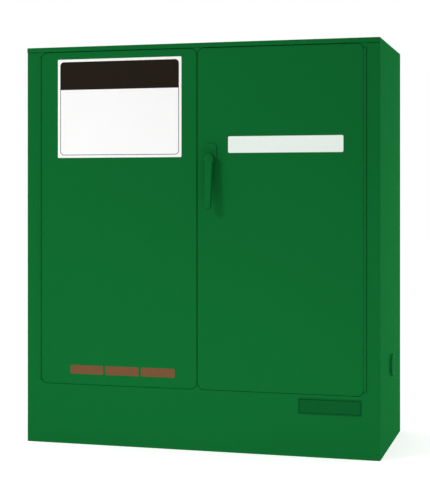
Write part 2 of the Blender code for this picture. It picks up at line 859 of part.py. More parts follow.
def build_door(name, side, swing):
    """The outer and the inner skin of one door."""
    left, right = across(side, DOOR_EDGE, DOOR_SIDE)
    back = FACE + DOOR_RETURN
    outline = rounded(left, DOOR_BOTTOM, right, DOOR_TOP, DOOR_CORNER)
    skin_name = f"{name}_door_skin"
    skin = solid(skin_name, "green_powder_coat", [prism("y", outline, FACE, back)], swing)
    hollow = rounded(
        left + SHEET,
        DOOR_BOTTOM + SHEET,
        right - SHEET,
        DOOR_TOP - SHEET,
        DOOR_CORNER - SHEET,
    )
    hollow_shape = prism("y", hollow, FACE + SHEET, back + OVERRUN)
    combine(skin, f"{skin_name}_hollow", [hollow_shape], swing)

    left, right = across(side, DOOR_LINER_EDGE, DOOR_LINER_SIDE)
    back = FACE + DOOR_DEPTH
    outline = rounded(left, DOOR_LINER_BOTTOM, right, DOOR_LINER_TOP, LINER_CORNER)
    liner_name = f"{name}_door_liner"
    liner_shape = prism("y", outline, SKIN_BACK, back)
    liner = solid(liner_name, "green_liner_coat", [liner_shape], swing)
    hollow = rounded(
        left + SHEET,
        DOOR_LINER_BOTTOM + SHEET,
        right - SHEET,
        DOOR_LINER_TOP - SHEET,
        LINER_CORNER - SHEET,
    )
    hollow_shape = prism("y", hollow, SKIN_BACK - OVERRUN, back - SHEET)
    combine(liner, f"{liner_name}_hollow", [hollow_shape], swing)
    return skin, liner


def spindle_hole(low, high):
    """A round hole for the turning spindle."""
    outline = circle(HANDLE_X, HANDLE_HEIGHT, SPINDLE_HOLE_RADIUS, BEARING_STEPS)
    return prism("y", outline, low, high)


def square(size, low, high):
    """A square bar along the spindle's axis."""
    half = size / 2
    outline = rectangle(
        HANDLE_X - half,
        HANDLE_HEIGHT - half,
        HANDLE_X + half,
        HANDLE_HEIGHT + half,
    )
    return prism("y", outline, low, high)


def build_handle_plate(swing):
    """The backing plate between the lever and the door."""
    outline = rounded(
        HANDLE_X - PLATE_WIDTH / 2,
        HANDLE_HEIGHT - PLATE_LENGTH / 2,
        HANDLE_X + PLATE_WIDTH / 2,
        HANDLE_HEIGHT + PLATE_LENGTH / 2,
        PLATE_WIDTH / 3,
    )
    shape = prism("y", outline, PLATE_FRONT, FACE - SEAT)
    plate = solid("handle_plate", "green_powder_coat", [shape], swing)
    hole = spindle_hole(PLATE_FRONT - OVERRUN, FACE + OVERRUN)
    combine(plate, "handle_plate_hole", [hole], swing)


def lever_arm(bm):
    """The arm: its side outline drawn out across its width, then tapered downwards."""
    crown = HANDLE_HEIGHT + LEVER_CROWN
    tip = HANDLE_HEIGHT - LEVER_LENGTH
    knee = HANDLE_HEIGHT - HUB_RADIUS
    tip_front = HUB_FRONT - LEVER_CRANK
    side_outline = [
        (HUB_FRONT, crown),
        (HUB_FRONT, knee),
        (tip_front, tip + LEVER_EDGE),
        (tip_front + LEVER_EDGE, tip),
        (tip_front + LEVER_TIP_THICKNESS - LEVER_EDGE, tip),
        (tip_front + LEVER_TIP_THICKNESS, tip + LEVER_EDGE),
        (HUB_FRONT + LEVER_THICKNESS, knee),
        (HUB_FRONT + LEVER_THICKNESS, crown),
    ]
    half = LEVER_WIDTH / 2
    prism("x", side_outline, HANDLE_X - half, HANDLE_X + half)(bm)
    for corner in bm.verts:
        share = (crown - corner.co.z) / (crown - tip)
        width = LEVER_WIDTH + (LEVER_TIP_WIDTH - LEVER_WIDTH) * share
        corner.co.x = HANDLE_X + (corner.co.x - HANDLE_X) * width / LEVER_WIDTH


def build_lever(turn):
    """The lever with its hub, its square socket and the bore of its lock."""
    lever = solid("handle_lever", "green_powder_coat", [lever_arm], turn)
    edge = lever.modifiers.new("soft_edges", "BEVEL")
    edge.width = LEVER_EDGE
    edge.segments = 2
    edge.limit_method = "ANGLE"
    edge.angle_limit = math.radians(40)
    outline = circle(HANDLE_X, HANDLE_HEIGHT, HUB_RADIUS, ROUND_STEPS)
    hub = prism("y", outline, HUB_FRONT + LEVER_EDGE, HUB_BACK)
    combine(lever, "handle_lever_hub", [hub], turn, "UNION")
    socket = square(SPINDLE_SIZE + 2 * SEAT, HUB_BACK - SOCKET_DEPTH, HUB_BACK + OVERRUN)
    bore_outline = circle(HANDLE_X, HANDLE_HEIGHT, BARREL_LOCK_RADIUS + SEAT, ROUND_STEPS)
    bore_end = HUB_FRONT + BARREL_LOCK_LENGTH + SEAT
    bore = prism("y", bore_outline, HUB_FRONT - OVERRUN, bore_end)
    combine(lever, "handle_lever_bores", [socket, bore], turn)


def build_lock_cylinder(key_turn):
    """The keyed cylinder in the front of the hub."""
    front = HUB_FRONT - BARREL_LOCK_PROUD
    outline = circle(HANDLE_X, HANDLE_HEIGHT, BARREL_LOCK_RADIUS, ROUND_STEPS)
    shape = prism("y", outline, front, HUB_FRONT + BARREL_LOCK_LENGTH)
    cylinder = solid("lock_cylinder", "lock_nickel", [shape], key_turn, True)
    slot = box(
        (
            HANDLE_X - KEY_SLOT_WIDTH / 2,
            front - OVERRUN,
            HANDLE_HEIGHT - KEY_SLOT_LENGTH / 2,
        ),
        (
            HANDLE_X + KEY_SLOT_WIDTH / 2,
            front + KEY_SLOT_DEPTH,
            HANDLE_HEIGHT + KEY_SLOT_LENGTH / 2,
        ),
    )
    combine(cylinder, "lock_cylinder_slot", [slot], key_turn)


def tooth_half_angle(radius):
    """Half of the angle that a pinion tooth takes up at a radius, on an involute flank."""
    pressure = math.radians(PRESSURE_DEGREES)
    base = PITCH_RADIUS * math.cos(pressure)
    local = math.acos(base / max(radius, base))
    at_pitch = math.pi / 2 / PINION_TEETH - BACKLASH / (2 * PITCH_RADIUS)
    return at_pitch + math.tan(pressure) - pressure - (math.tan(local) - local)


def pinion_outline():
    """The pinion's teeth, one of them pointing at each rack."""
    root = PITCH_RADIUS - DEDENDUM
    base = PITCH_RADIUS * math.cos(math.radians(PRESSURE_DEGREES))
    tip = PITCH_RADIUS + ADDENDUM
    radii = [root, base, (base + PITCH_RADIUS) / 2, PITCH_RADIUS, (PITCH_RADIUS + tip) / 2, tip]
    points = []
    for tooth in range(PINION_TEETH):
        middle = 2 * math.pi * tooth / PINION_TEETH
        flank = [(radius, -tooth_half_angle(radius)) for radius in radii]
        flank += [(radius, tooth_half_angle(radius)) for radius in reversed(radii)]
        for radius, offset in flank:
            angle = middle + offset
            x = HANDLE_X + radius * math.cos(angle)
            z = HANDLE_HEIGHT + radius * math.sin(angle)
            points.append((x, z))
    return points


def build_drive(turn, swing):
    """The spindle, the pinion on it and the tall channel that houses them and the rods."""
    spindle_front = HUB_BACK - SOCKET_DEPTH + SEAT
    spindle_back = CHANNEL_BACK - SHEET - SEAT
    bar = square(SPINDLE_SIZE, spindle_front, spindle_back)
    solid("spindle", "bright_steel", [bar], turn)

    half = PINION_THICKNESS / 2
    shape = prism("y", pinion_outline(), ROD_Y - half, ROD_Y + half)
    pinion = solid("pinion", "bright_steel", [shape], turn)
    hole_size = SPINDLE_SIZE + 2 * SEAT
    bore = square(hole_size, ROD_Y - half - OVERRUN, ROD_Y + half + OVERRUN)
    combine(pinion, "pinion_bore", [bore], turn)

    left = HANDLE_X - CHANNEL_WIDTH / 2
    right = HANDLE_X + CHANNEL_WIDTH / 2
    path = [
        (right, SKIN_BACK),
        (right, CHANNEL_BACK),
        (left, CHANNEL_BACK),
        (left, SKIN_BACK),
    ]
    low = DOOR_LINER_BOTTOM + SHEET + SEAT
    high = DOOR_LINER_TOP - SHEET - SEAT
    solid("lock_channel", "bright_steel", [prism("z", folded(path), low, high)], swing)


def rack_outline(end, tip):
    """A rod's side view with its teeth, in step with the pinion: end +1 runs up, -1 down."""
    pitch = math.pi * MODULE
    slope = math.tan(math.radians(PRESSURE_DEGREES))
    half_gap = pitch / 4 + BACKLASH / 2
    root_half = half_gap - DEDENDUM * slope
    tip_half = half_gap + ADDENDUM * slope
    crest = PITCH_RADIUS - ADDENDUM
    heel = -(RACK_GAPS_BEHIND + 0.5) * pitch
    toe = (RACK_GAPS_AHEAD + 0.5) * pitch
    points = [(crest, heel)]
    for index in range(-RACK_GAPS_BEHIND, RACK_GAPS_AHEAD + 1):
        middle = index * pitch
        points += [
            (crest, middle - tip_half),
            (ROD_INNER, middle - root_half),
            (ROD_INNER, middle + root_half),
            (crest, middle + tip_half),
        ]
    points += [
        (crest, toe),
        (ROD_INNER, toe),
        (ROD_INNER, tip - ROD_CHAMFER),
        (ROD_INNER + ROD_CHAMFER, tip),
        (ROD_OUTER - ROD_CHAMFER, tip),
        (ROD_OUTER, tip - ROD_CHAMFER),
        (ROD_OUTER, heel),
    ]
    return [(HANDLE_X + end * a, HANDLE_HEIGHT + end * b) for a, b in points]


def build_rod(name, end, tip, carrier):
    """One rod with the rack at its heel."""
    half = ROD_THICKNESS / 2
    outline = rack_outline(end, tip)
    solid(name, "bright_steel", [prism("y", outline, ROD_Y - half, ROD_Y + half)], carrier)


def build_rods(swing):
    """The upper and the lower rod, each on its own slide."""
    upper = pivot("upper_rod_slide", (HANDLE_X, ROD_Y, ROD_TOP), swing)
    build_rod("upper_rod", 1, ROD_TOP - HANDLE_HEIGHT, upper)
    lower = pivot("lower_rod_slide", (HANDLE_X, ROD_Y, ROD_BOTTOM), swing)
    build_rod("lower_rod", -1, HANDLE_HEIGHT - ROD_BOTTOM, lower)


def build_doors():
    """Both doors with their hinges, and what the right-hand door carries."""
    swings = {}
    parts = {}
    for name, side in SIDES:
        swing = pivot(f"{name}_door_swing", (side * AXIS_X, FACE, 0))
        swings[name] = swing
        parts[name] = build_door(name, side, swing)
        build_hinge(name, side, swing)

    swing = swings["right"]
    skin, liner = parts["right"]
    hole = spindle_hole(FACE - OVERRUN, SKIN_BACK + OVERRUN)
    combine(skin, "right_door_skin_spindle_hole", [hole], swing)
    for end, low in ((1, DOOR_LINER_TOP - SHEET), (-1, DOOR_LINER_BOTTOM)):
        start = low - OVERRUN
        stop = low + SHEET + OVERRUN
        cut_rod_hole(liner, "right_door_liner", end, ROD_CLEARANCE, start, stop, swing)

    turn = pivot("handle_turn", (HANDLE_X, FACE, HANDLE_HEIGHT), swing)
    key_turn = pivot("key_turn", (HANDLE_X, HUB_FRONT, HANDLE_HEIGHT), turn)
    build_handle_plate(swing)
    build_lever(turn)
    build_lock_cylinder(key_turn)
    build_drive(turn, swing)
    build_rods(swing)

    top = DOOR_TOP - SIGN_TOP_MARGIN
    outline = rounded(
        -DOOR_SIDE + SIGN_HINGE_MARGIN,
        top - SIGN_HEIGHT,
        -DOOR_EDGE - SIGN_EDGE_MARGIN,
        top,
        SIGN_CORNER,
    )
    shape = prism("y", outline, FACE - SEAT - PLATE_SHEET, FACE - SEAT)
    solid("sign_card", "white_card", [shape], swings["left"])


def build_name_plate():
    """The blank plate on the apron."""
    right = SIDE - NAME_SIDE_MARGIN
    top = APRON_HEIGHT - NAME_TOP_MARGIN
    outline = rounded(right - NAME_WIDTH, top - NAME_HEIGHT, right, top, NAME_CORNER)
    shape = prism("y", outline, FACE - SEAT - PLATE_SHEET, FACE - SEAT)
    solid("name_plate", "dark_plate", [shape])


def main():
    """Build the whole cabinet."""
    clear_scene()
    build_outer_shell()
    build_front_frame()
    build_keeps()
    build_inner_walls()
    build_sump()
    build_shelving()
    build_vent("right", 1, VENT_LOW)
    build_vent("left", -1, VENT_HIGH)
    build_doors()
    build_name_plate()
    bpy.context.view_layer.update()


main()
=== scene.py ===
"""Looks of the two-door dangerous goods storage cabinet.

Welded sheet steel under a satin green powder coat. The pieces that show from outside are
rebuilt here with rolled folds, soft edges and round knuckles, and every part gets its
finish. Units are metres, +Z is up and the doors face -Y.
"""

import math

import bmesh
import bpy
import numpy as np
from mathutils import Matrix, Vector


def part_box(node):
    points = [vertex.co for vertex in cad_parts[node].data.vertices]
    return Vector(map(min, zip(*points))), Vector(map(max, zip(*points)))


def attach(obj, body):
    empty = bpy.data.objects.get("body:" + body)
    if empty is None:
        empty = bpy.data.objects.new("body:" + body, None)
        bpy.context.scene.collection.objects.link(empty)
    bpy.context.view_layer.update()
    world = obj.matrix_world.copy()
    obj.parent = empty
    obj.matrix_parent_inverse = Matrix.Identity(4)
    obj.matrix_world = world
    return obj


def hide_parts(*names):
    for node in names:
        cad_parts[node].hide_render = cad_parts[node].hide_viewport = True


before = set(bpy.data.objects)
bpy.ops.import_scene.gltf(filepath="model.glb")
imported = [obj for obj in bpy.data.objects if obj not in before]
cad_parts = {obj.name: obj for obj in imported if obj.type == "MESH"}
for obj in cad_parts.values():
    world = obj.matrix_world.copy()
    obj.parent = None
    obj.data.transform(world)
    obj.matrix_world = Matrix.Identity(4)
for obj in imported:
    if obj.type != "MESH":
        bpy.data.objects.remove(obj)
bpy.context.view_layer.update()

# The cabinet's planes, from its solids
skin_low, skin_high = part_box("left_door_skin")
roof_low, roof_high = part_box("roof_panel")
stile_low, stile_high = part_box("right_stile")
panel_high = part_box("right_side_panel")[1]
apron_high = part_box("sump_apron")[1]
SIDES = (("left", -1), ("right", 1))
SIDE = panel_high.x
FACE = skin_low.y
BACK = panel_high.y
TOP = panel_high.z
OPENING = stile_low.x
APRON = apron_high.z
FRAME_BACK = stile_high.y
REBATE_BACK = apron_high.y

# Sheet metal: gauge, corner fold, cut edge, and the flat strip that keeps a fold tight
SHEET = 0.0015
FOLD = 0.0025
RIM = 0.0010
SUPPORT = 0.0015
QUARTER = np.linspace(0, math.pi / 2, 7)

# The groove under the roof's lip
GROOVE_HEIGHT = 0.0016
GROOVE_DEPTH = 0.0015
GROOVE_FOOT = roof_low.z - GROOVE_HEIGHT
GROOVE_BACK = FACE + GROOVE_DEPTH

# Door pans, which stand past their solids, and the webs at their corners
PAN_HEAD_REACH = 0.0010
PAN_FOOT_REACH = 0.0011
PAN_EDGE_REACH = 0.00045
PAN_EDGE = 0.0013
PAN_CORNER = 0.020
WEB_GAP = 0.0012
WEB_EDGE = 0.0004
WEB_PROUD = 0.00002
HINGE_END_GAP = 0.0003

# Hinges
KNUCKLES = 39
KNUCKLE_RADIUS = 0.0035
KNUCKLE_BORE = 0.0023
KNUCKLE_GAP = 0.0005
KNUCKLE_CURL = math.radians(255)
LEAF_GAP = 0.0006

# Lever, hub and lock cylinder
HUB_PROUD = 0.030
HUB_RADIUS = 0.014
HUB_FOOT_RADIUS = 0.0155
HUB_EDGE = 0.0012
HUB_BEVEL = 0.004
HUB_FLARE = 0.003
LEVER_CROWN = 0.012
LEVER_BEND = 0.014
LEVER_LEAN = 0.010
LEVER_END = 0.006
LEVER_HALF_WIDTHS = (0.012, 0.009)
LEVER_THICKNESSES = (0.020, 0.012)
LEVER_SQUARENESS = 0.42
LOCK_EDGE = 0.0008
KEY_HALF_WIDTH = 0.0008
KEY_HALF_HEIGHT = 0.004
KEY_CORNER = 0.0006
KEY_DEPTH = 0.005

# Vents and their bungs
VENT_CELL = 0.045
VENT_HOLE = 0.0263
TUBE_BORE = 0.024
TUBE_RADIUS = 0.026
FLANGE_RADIUS = 0.036
VENT_SEAT = 0.0003
DISC_RADIUS = 0.033
DISC_ROUND = 0.0052
PLUG_RADIUS = 0.0234
PLUG_BORE = 0.0204
PLUG_EDGE = 0.0006
GRIP_OFFSET = 0.0085
GRIP_HALF_WIDTH = 0.0035
GRIP_HALF_HEIGHT = 0.0205
GRIP_DEPTH = 0.0038
GRIP_SLOPE = 0.0018

# Plates and films: (left, foot), (right, head)
PLATE_SEAT = 0.0001
PLATE_EDGE = 0.0003
PLATE_CORNER = 0.003
PLATE_GAUGE = 0.0010
FILM_GAUGE = 0.0002
WHITE_STRIP = ((0.094, 0.868), (0.431, 0.916))
WHITE_STRIP_CORNER = 0.004
RUST_STRIP_LEFT = -0.395
RUST_STRIP_LENGTH = 0.104
RUST_STRIP_GAP = 0.0075
RUST_STRIP_HEIGHTS = (0.210, 0.236)


# Surfaces


def grid(points, close_v=False):
    """Quads between the neighbours of points[u, v], joined round in v where that is closed."""
    rows, columns = points.shape[:2]
    index = np.arange(rows * columns).reshape(rows, columns)
    if close_v:
        index = np.hstack([index, index[:, :1]])
    corners = [index[:-1, :-1], index[1:, :-1], index[1:, 1:], index[:-1, 1:]]
    return points.reshape(-1, 3), [np.stack(corners, axis=-1).reshape(-1, 4)]


def stack(loops, first=True, last=True):
    """Closed loops[level, point] joined level by level, with a flat face at either end."""
    points, blocks = grid(loops, close_v=True)
    count = loops.shape[1]
    if first:
        blocks.append(np.arange(count)[::-1][None])
    if last:
        blocks.append(np.arange(len(points) - count, len(points))[None])
    return points, blocks


def holed(outer, inner):
    """A flat face between two loops that start at the same angle, in two halves."""
    n, m = len(outer), len(inner)
    points = np.vstack([outer, inner])
    near = np.concatenate([np.arange(0, n // 2 + 1), n + np.arange(m // 2, -1, -1)])
    far_outer = np.arange(n // 2, n + 1) % n
    far_inner = n + np.arange(m, m // 2 - 1, -1) % m
    return points, [near[None], np.concatenate([far_outer, far_inner])[None]]


def rounded(left, bottom, right, top, radius, steps):
    """A rectangle's loop whose corners are quarter circles, from the lower right corner on."""
    first_turns = (np.arange(4)[:, None] - 1) * math.pi / 2
    turns = np.linspace(0, math.pi / 2, steps + 1)[None] + first_turns
    across = np.array([right - radius, right - radius, left + radius, left + radius])[:, None]
    up = np.array([bottom + radius, top - radius, top - radius, bottom + radius])[:, None]
    loop = np.stack([across + radius * np.cos(turns), up + radius * np.sin(turns)], axis=-1)
    return loop.reshape(-1, 2)


def rounded_outline(left, bottom, right, top, radius, steps=10):
    """A rounded rectangle's loop as a function of how far it is drawn in on every side."""

    def outline(inset):
        return rounded(
            left + inset, bottom + inset, right - inset, top - inset, radius - inset, steps
        )

    return outline


def ring(across, up, radius, count, start):
    """A circle's loop: the centre plus the radius at even angles from a start."""
    turns = start + np.arange(count) * 2 * math.pi / count
    return np.stack([across + radius * np.cos(turns), up + radius * np.sin(turns)], axis=-1)


def raised(loop, axis, level):
    """A flat loop set at one level along an axis."""
    along = np.full(len(loop), float(level))
    order = {
        "x": (along, loop[:, 0], loop[:, 1]),
        "y": (loop[:, 0], along, loop[:, 1]),
        "z": (loop[:, 0], loop[:, 1], along),
    }
    return np.stack(order[axis], axis=-1)


def drawn_up(path, levels):
    """A plan drawn straight up: points[u, v] is path[u] at levels[v]."""
    plan = np.repeat(path[:, None], len(levels), axis=1)
    height = np.repeat(levels[None, :, None], len(path), axis=0)
    return np.concatenate([plan, height], axis=-1)


def drawn_across(stations, sections):
    """Sections of depth and height, each set at its own station across the cabinet."""
    across = np.broadcast_to(stations[:, None, None], (*sections.shape[:2], 1))
    return np.concatenate([across, sections], axis=-1)


def filleted(corners, radius, steps=4):
    """A path whose inner corners are arcs that touch both legs at radius / tan(half angle)."""
    corners = np.asarray(corners, float)
    path = [corners[:1]]
    for before, corner, after in zip(corners, corners[1:], corners[2:]):
        into = (before - corner) / np.linalg.norm(before - corner)
        away = (after - corner) / np.linalg.norm(after - corner)
        half = math.acos(float(np.clip(into @ away, -1, 1))) / 2
        reach = min(
            radius / math.tan(half),
            0.45 * np.linalg.norm(before - corner),
            0.45 * np.linalg.norm(after - corner),
        )
        middle = into + away
        centre = corner + middle / np.linalg.norm(middle) * reach / math.cos(half)
        share = np.linspace(0, 1, steps + 1)[:, None]
        chord = (corner + into * reach) * (1 - share) + (corner + away * reach) * share - centre
        length = np.linalg.norm(chord, axis=1, keepdims=True)
        path.append(centre + chord / length * reach * math.tan(half))
    path.append(corners[-1:])
    return np.vstack(path)


def turned(profile, axis, centre, count=64):
    """A (radius, station) profile spun: each point at even angles round the axis."""
    profile = np.asarray(profile, float)
    turns = np.arange(count) * 2 * math.pi / count
    first = centre[0] + profile[:, :1] * np.cos(turns)
    second = centre[1] + profile[:, :1] * np.sin(turns)
    along = np.repeat(profile[:, 1:], count, axis=1)
    order = {"x": (along, first, second), "y": (first, along, second), "z": (first, second, along)}
    return np.stack(order[axis], axis=-1)


def slab(outline, front, back, edge):
    """Loops of an upright plate: outline(inset) at each depth, round a quarter-round edge."""
    loops = [raised(outline(edge + SUPPORT / 3), "y", front)]
    for turn in QUARTER[::2]:
        inset = edge * (1 - math.sin(turn))
        loops.append(raised(outline(inset), "y", front + edge * (1 - math.cos(turn))))
    loops.append(raised(outline(0), "y", back))
    return np.stack(loops)


def dome(distance, length):
    """How full a rounded end is at a distance from its tip: a quarter circle over its length."""
    return np.sqrt(np.clip(1 - (1 - np.clip(distance / length, 0, 1)) ** 2, 0, 1))


# Pieces


def sharpen_borders(mesh):
    """Marks the open edges sharp, so that a sheet's cut edge doesn't round its flat face."""
    used = np.zeros(len(mesh.loops), np.int32)
    mesh.loops.foreach_get("edge_index", used)
    faces_on_edge = np.bincount(used, minlength=len(mesh.edges))
    sharp = np.zeros(len(mesh.edges), bool)
    mesh.edges.foreach_get("use_edge_sharp", sharp)
    mesh.edges.foreach_set("use_edge_sharp", sharp | (faces_on_edge == 1))


def piece(name, surfaces, body, coat, stands_for=(), wall=0.0, angle=35):
    """One object from surfaces, welded where they meet, with its faces turned outwards.

    A wall gives the surfaces that thickness, inwards. Folds sharper than the angle stay
    crisp.
    """
    points = []
    faces = []
    start = 0
    for vertices, blocks in surfaces:
        points.append(vertices)
        for block in blocks:
            faces.extend((block + start).tolist())
        start += len(vertices)
    mesh = bpy.data.meshes.new(name)
    mesh.from_pydata(np.vstack(points).tolist(), [], faces)
    bm = bmesh.new()
    bm.from_mesh(mesh)
    bmesh.ops.remove_doubles(bm, verts=bm.verts, dist=2e-6)
    bmesh.ops.recalc_face_normals(bm, faces=bm.faces)
    bm.to_mesh(mesh)
    bm.free()
    mesh.materials.append(coat)
    mesh.shade_smooth()
    mesh.set_sharp_from_angle(angle=math.radians(angle))
    sharpen_borders(mesh)
    made = bpy.data.objects.new(name, mesh)
    bpy.context.scene.collection.objects.link(made)
    if wall:
        shell = made.modifiers.new("sheet", "SOLIDIFY")
        shell.thickness = wall
        shell.offset = -1
        shell.use_even_offset = True
    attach(made, body)
    if stands_for:
        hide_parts(*stands_for)


# Node helpers


def feed(tree, socket, value):
    """Links an output to a socket, or sets the socket's own value."""
    if isinstance(value, bpy.types.NodeSocket):
        tree.links.new(value, socket)
    else:
        socket.default_value = value


def node(tree, kind, settings=None, **inputs):
    """A node with its settings, each input given a value or another node's output."""
    made = tree.nodes.new(kind)
    for key, value in (settings or {}).items():
        setattr(made, key, value)
    for key, value in inputs.items():
        feed(tree, made.inputs[key.replace("_", " ")], value)
    return made


def calc(tree, operation, *values, clamp=False):
    """The output of a Math node on numbers or sockets."""
    made = node(tree, "ShaderNodeMath", {"operation": operation, "use_clamp": clamp})
    for socket, value in zip(made.inputs, values):
        feed(tree, socket, value)
    return made.outputs[0]


def mixed(tree, factor, first, second):
    """The output of a colour Mix node, whose colour sockets are numbers 6 and 7."""
    made = node(tree, "ShaderNodeMix", {"data_type": "RGBA"})
    for index, value in ((0, factor), (6, first), (7, second)):
        feed(tree, made.inputs[index], value)
    return made.outputs[2]


def remap(tree, value, low, high, to_low, to_high):
    """A value moved from one range to another, held within it."""
    made = node(
        tree,
        "ShaderNodeMapRange",
        {"clamp": True},
        Value=value,
        From_Min=low,
        From_Max=high,
        To_Min=to_low,
        To_Max=to_high,
    )
    return made.outputs[0]


def new_group(name, inputs, outputs):
    """An empty node group with named sockets, and its two end nodes."""
    tree = bpy.data.node_groups.new(name, "ShaderNodeTree")
    kinds = {"value": "NodeSocketFloat", "colour": "NodeSocketColor", "vector": "NodeSocketVector"}
    for label, kind in inputs:
        tree.interface.new_socket(label, in_out="INPUT", socket_type=kinds[kind])
    for label, kind in outputs:
        tree.interface.new_socket(label, in_out="OUTPUT", socket_type=kinds[kind])
    return tree, tree.nodes.new("NodeGroupInput").outputs, tree.nodes.new("NodeGroupOutput").inputs


def use(tree, group, **inputs):
    """A group placed in a material with its own values."""
    return node(tree, "ShaderNodeGroup", {"node_tree": group}, **inputs).outputs


# Shared effects

DUST_GREY = (0.30, 0.30, 0.27)


def make_coat_texture():
    """Powder coat: fine grain from melted powder over a slow orange-peel ripple."""
    tree, given, out = new_group(
        "powder_coat_texture",
        [("Vector", "vector"), ("Grain", "value"), ("Ripple", "value"), ("Share", "value")],
        [("Height", "value"), ("Mottle", "value")],
    )
    grain = node(
        tree, "ShaderNodeTexNoise", Vector=given["Vector"], Scale=given["Grain"], Detail=2.0
    )
    ripple = node(
        tree, "ShaderNodeTexNoise", Vector=given["Vector"], Scale=given["Ripple"], Detail=1.0
    )
    rest = calc(tree, "SUBTRACT", 1.0, given["Share"])
    fine = calc(tree, "MULTIPLY", grain.outputs[0], given["Share"])
    slow = calc(tree, "MULTIPLY", ripple.outputs[0], rest)
    tree.links.new(calc(tree, "ADD", fine, slow), out["Height"])
    tree.links.new(ripple.outputs[0], out["Mottle"])
    return tree


def make_colour_drift():
    """Slow, faint changes of a coat's colour over its panels, and soft handling marks."""
    tree, given, out = new_group(
        "colour_drift",
        [("Color", "colour"), ("Vector", "vector"), ("Scale", "value"), ("Amount", "value")],
        [("Color", "colour"), ("Marks", "value")],
    )
    slow = node(
        tree, "ShaderNodeTexNoise", Vector=given["Vector"], Scale=given["Scale"], Detail=3.0
    )
    spread = calc(tree, "MULTIPLY", calc(tree, "SUBTRACT", slow.outputs[0], 0.5), given["Amount"])
    shaded = node(
        tree,
        "ShaderNodeHueSaturation",
        Color=given["Color"],
        Value=calc(tree, "ADD", 1.0, spread),
    )
    tree.links.new(shaded.outputs[0], out["Color"])
    marks = node(
        tree,
        "ShaderNodeTexNoise",
        Vector=given["Vector"],
        Scale=calc(tree, "MULTIPLY", given["Scale"], 9.0),
        Detail=4.0,
        Distortion=0.6,
    )
    tree.links.new(remap(tree, marks.outputs[0], 0.52, 0.75, 0.0, 1.0), out["Marks"])
    return tree


def make_settled_dust():
    """Thin dust that lies on upward faces, broken up by noise."""
    tree, given, out = new_group(
        "settled_dust",
        [("Color", "colour"), ("Vector", "vector"), ("Amount", "value")],
        [("Color", "colour"), ("Dust", "value")],
    )
    facing = node(
        tree, "ShaderNodeSeparateXYZ", Vector=node(tree, "ShaderNodeNewGeometry").outputs["Normal"]
    )
    up = remap(tree, facing.outputs["Z"], 0.5, 1.0, 0.0, 1.0)
    cloud = node(tree, "ShaderNodeTexNoise", Vector=given["Vector"], Scale=14.0, Detail=5.0)
    patchy = remap(tree, cloud.outputs[0], 0.35, 0.7, 0.25, 1.0)
    mask = calc(tree, "MULTIPLY", calc(tree, "MULTIPLY", up, patchy), given["Amount"], clamp=True)
    tree.links.new(mixed(tree, mask, given["Color"], (*DUST_GREY, 1)), out["Color"])
    tree.links.new(mask, out["Dust"])
    return tree


def make_rounded_field():
    """Distance from a rounded rectangle's outline in the X-Z plane, negative inside it.

    The length of the part of (|x| - half + radius, |z| - half + radius) above zero, plus
    the larger of the two where both are below zero, less the radius.
    """
    tree, given, out = new_group(
        "rounded_rectangle_field",
        [
            ("Vector", "vector"),
            ("Half Width", "value"),
            ("Half Height", "value"),
            ("Radius", "value"),
        ],
        [("Distance", "value")],
    )
    place = node(tree, "ShaderNodeSeparateXYZ", Vector=given["Vector"])
    sides = []
    for axis, half in (("X", "Half Width"), ("Z", "Half Height")):
        reach = calc(tree, "SUBTRACT", calc(tree, "ABSOLUTE", place.outputs[axis]), given[half])
        sides.append(calc(tree, "ADD", reach, given["Radius"]))
    beyond = [calc(tree, "MAXIMUM", side, 0.0) for side in sides]
    squares = [calc(tree, "MULTIPLY", side, side) for side in beyond]
    length = calc(tree, "SQRT", calc(tree, "ADD", *squares))
    within = calc(tree, "MINIMUM", calc(tree, "MAXIMUM", *sides), 0.0)
    total = calc(tree, "SUBTRACT", calc(tree, "ADD", length, within), given["Radius"])
    tree.links.new(total, out["Distance"])
    return tree


COAT_TEXTURE = make_coat_texture()
COLOUR_DRIFT = make_colour_drift()
SETTLED_DUST = make_settled_dust()
ROUNDED_FIELD = make_rounded_field()


# Finishes


def start_material(name):
    """A material with its shader and object coordinates."""
    made = bpy.data.materials.new(name)
    made.use_nodes = True
    tree = made.node_tree
    place = tree.nodes.new("ShaderNodeTexCoord").outputs["Object"]
    return made, tree, tree.nodes["Principled BSDF"], place


def powder_coat(name, colour, roughness, specular, drift=0.06, dust=0.05, bump=0.16):
    """A satin powder coat with grain, faint drift of colour, dust and handling marks.

    The roughness sways by 0.03 with the ripple, and rises where there are marks or dust.
    """
    made, tree, shader, place = start_material(name)
    texture = use(tree, COAT_TEXTURE, Vector=place, Grain=850.0, Ripple=210.0, Share=0.35)
    tone = use(tree, COLOUR_DRIFT, Color=(*colour, 1), Vector=place, Scale=1.6, Amount=drift)
    dusty = use(tree, SETTLED_DUST, Color=tone["Color"], Vector=place, Amount=dust)
    tree.links.new(dusty["Color"], shader.inputs["Base Color"])
    gloss = calc(tree, "ADD", roughness - 0.03, calc(tree, "MULTIPLY", texture["Mottle"], 0.06))
    marked = calc(tree, "ADD", gloss, calc(tree, "MULTIPLY", tone["Marks"], 0.05))
    matt = calc(tree, "ADD", marked, calc(tree, "MULTIPLY", dusty["Dust"], 0.4), clamp=True)
    tree.links.new(matt, shader.inputs["Roughness"])
    shader.inputs["Specular IOR Level"].default_value = specular
    relief = node(
        tree, "ShaderNodeBump", Strength=bump, Distance=0.0002, Height=texture["Height"]
    )
    tree.links.new(relief.outputs[0], shader.inputs["Normal"])
    return made


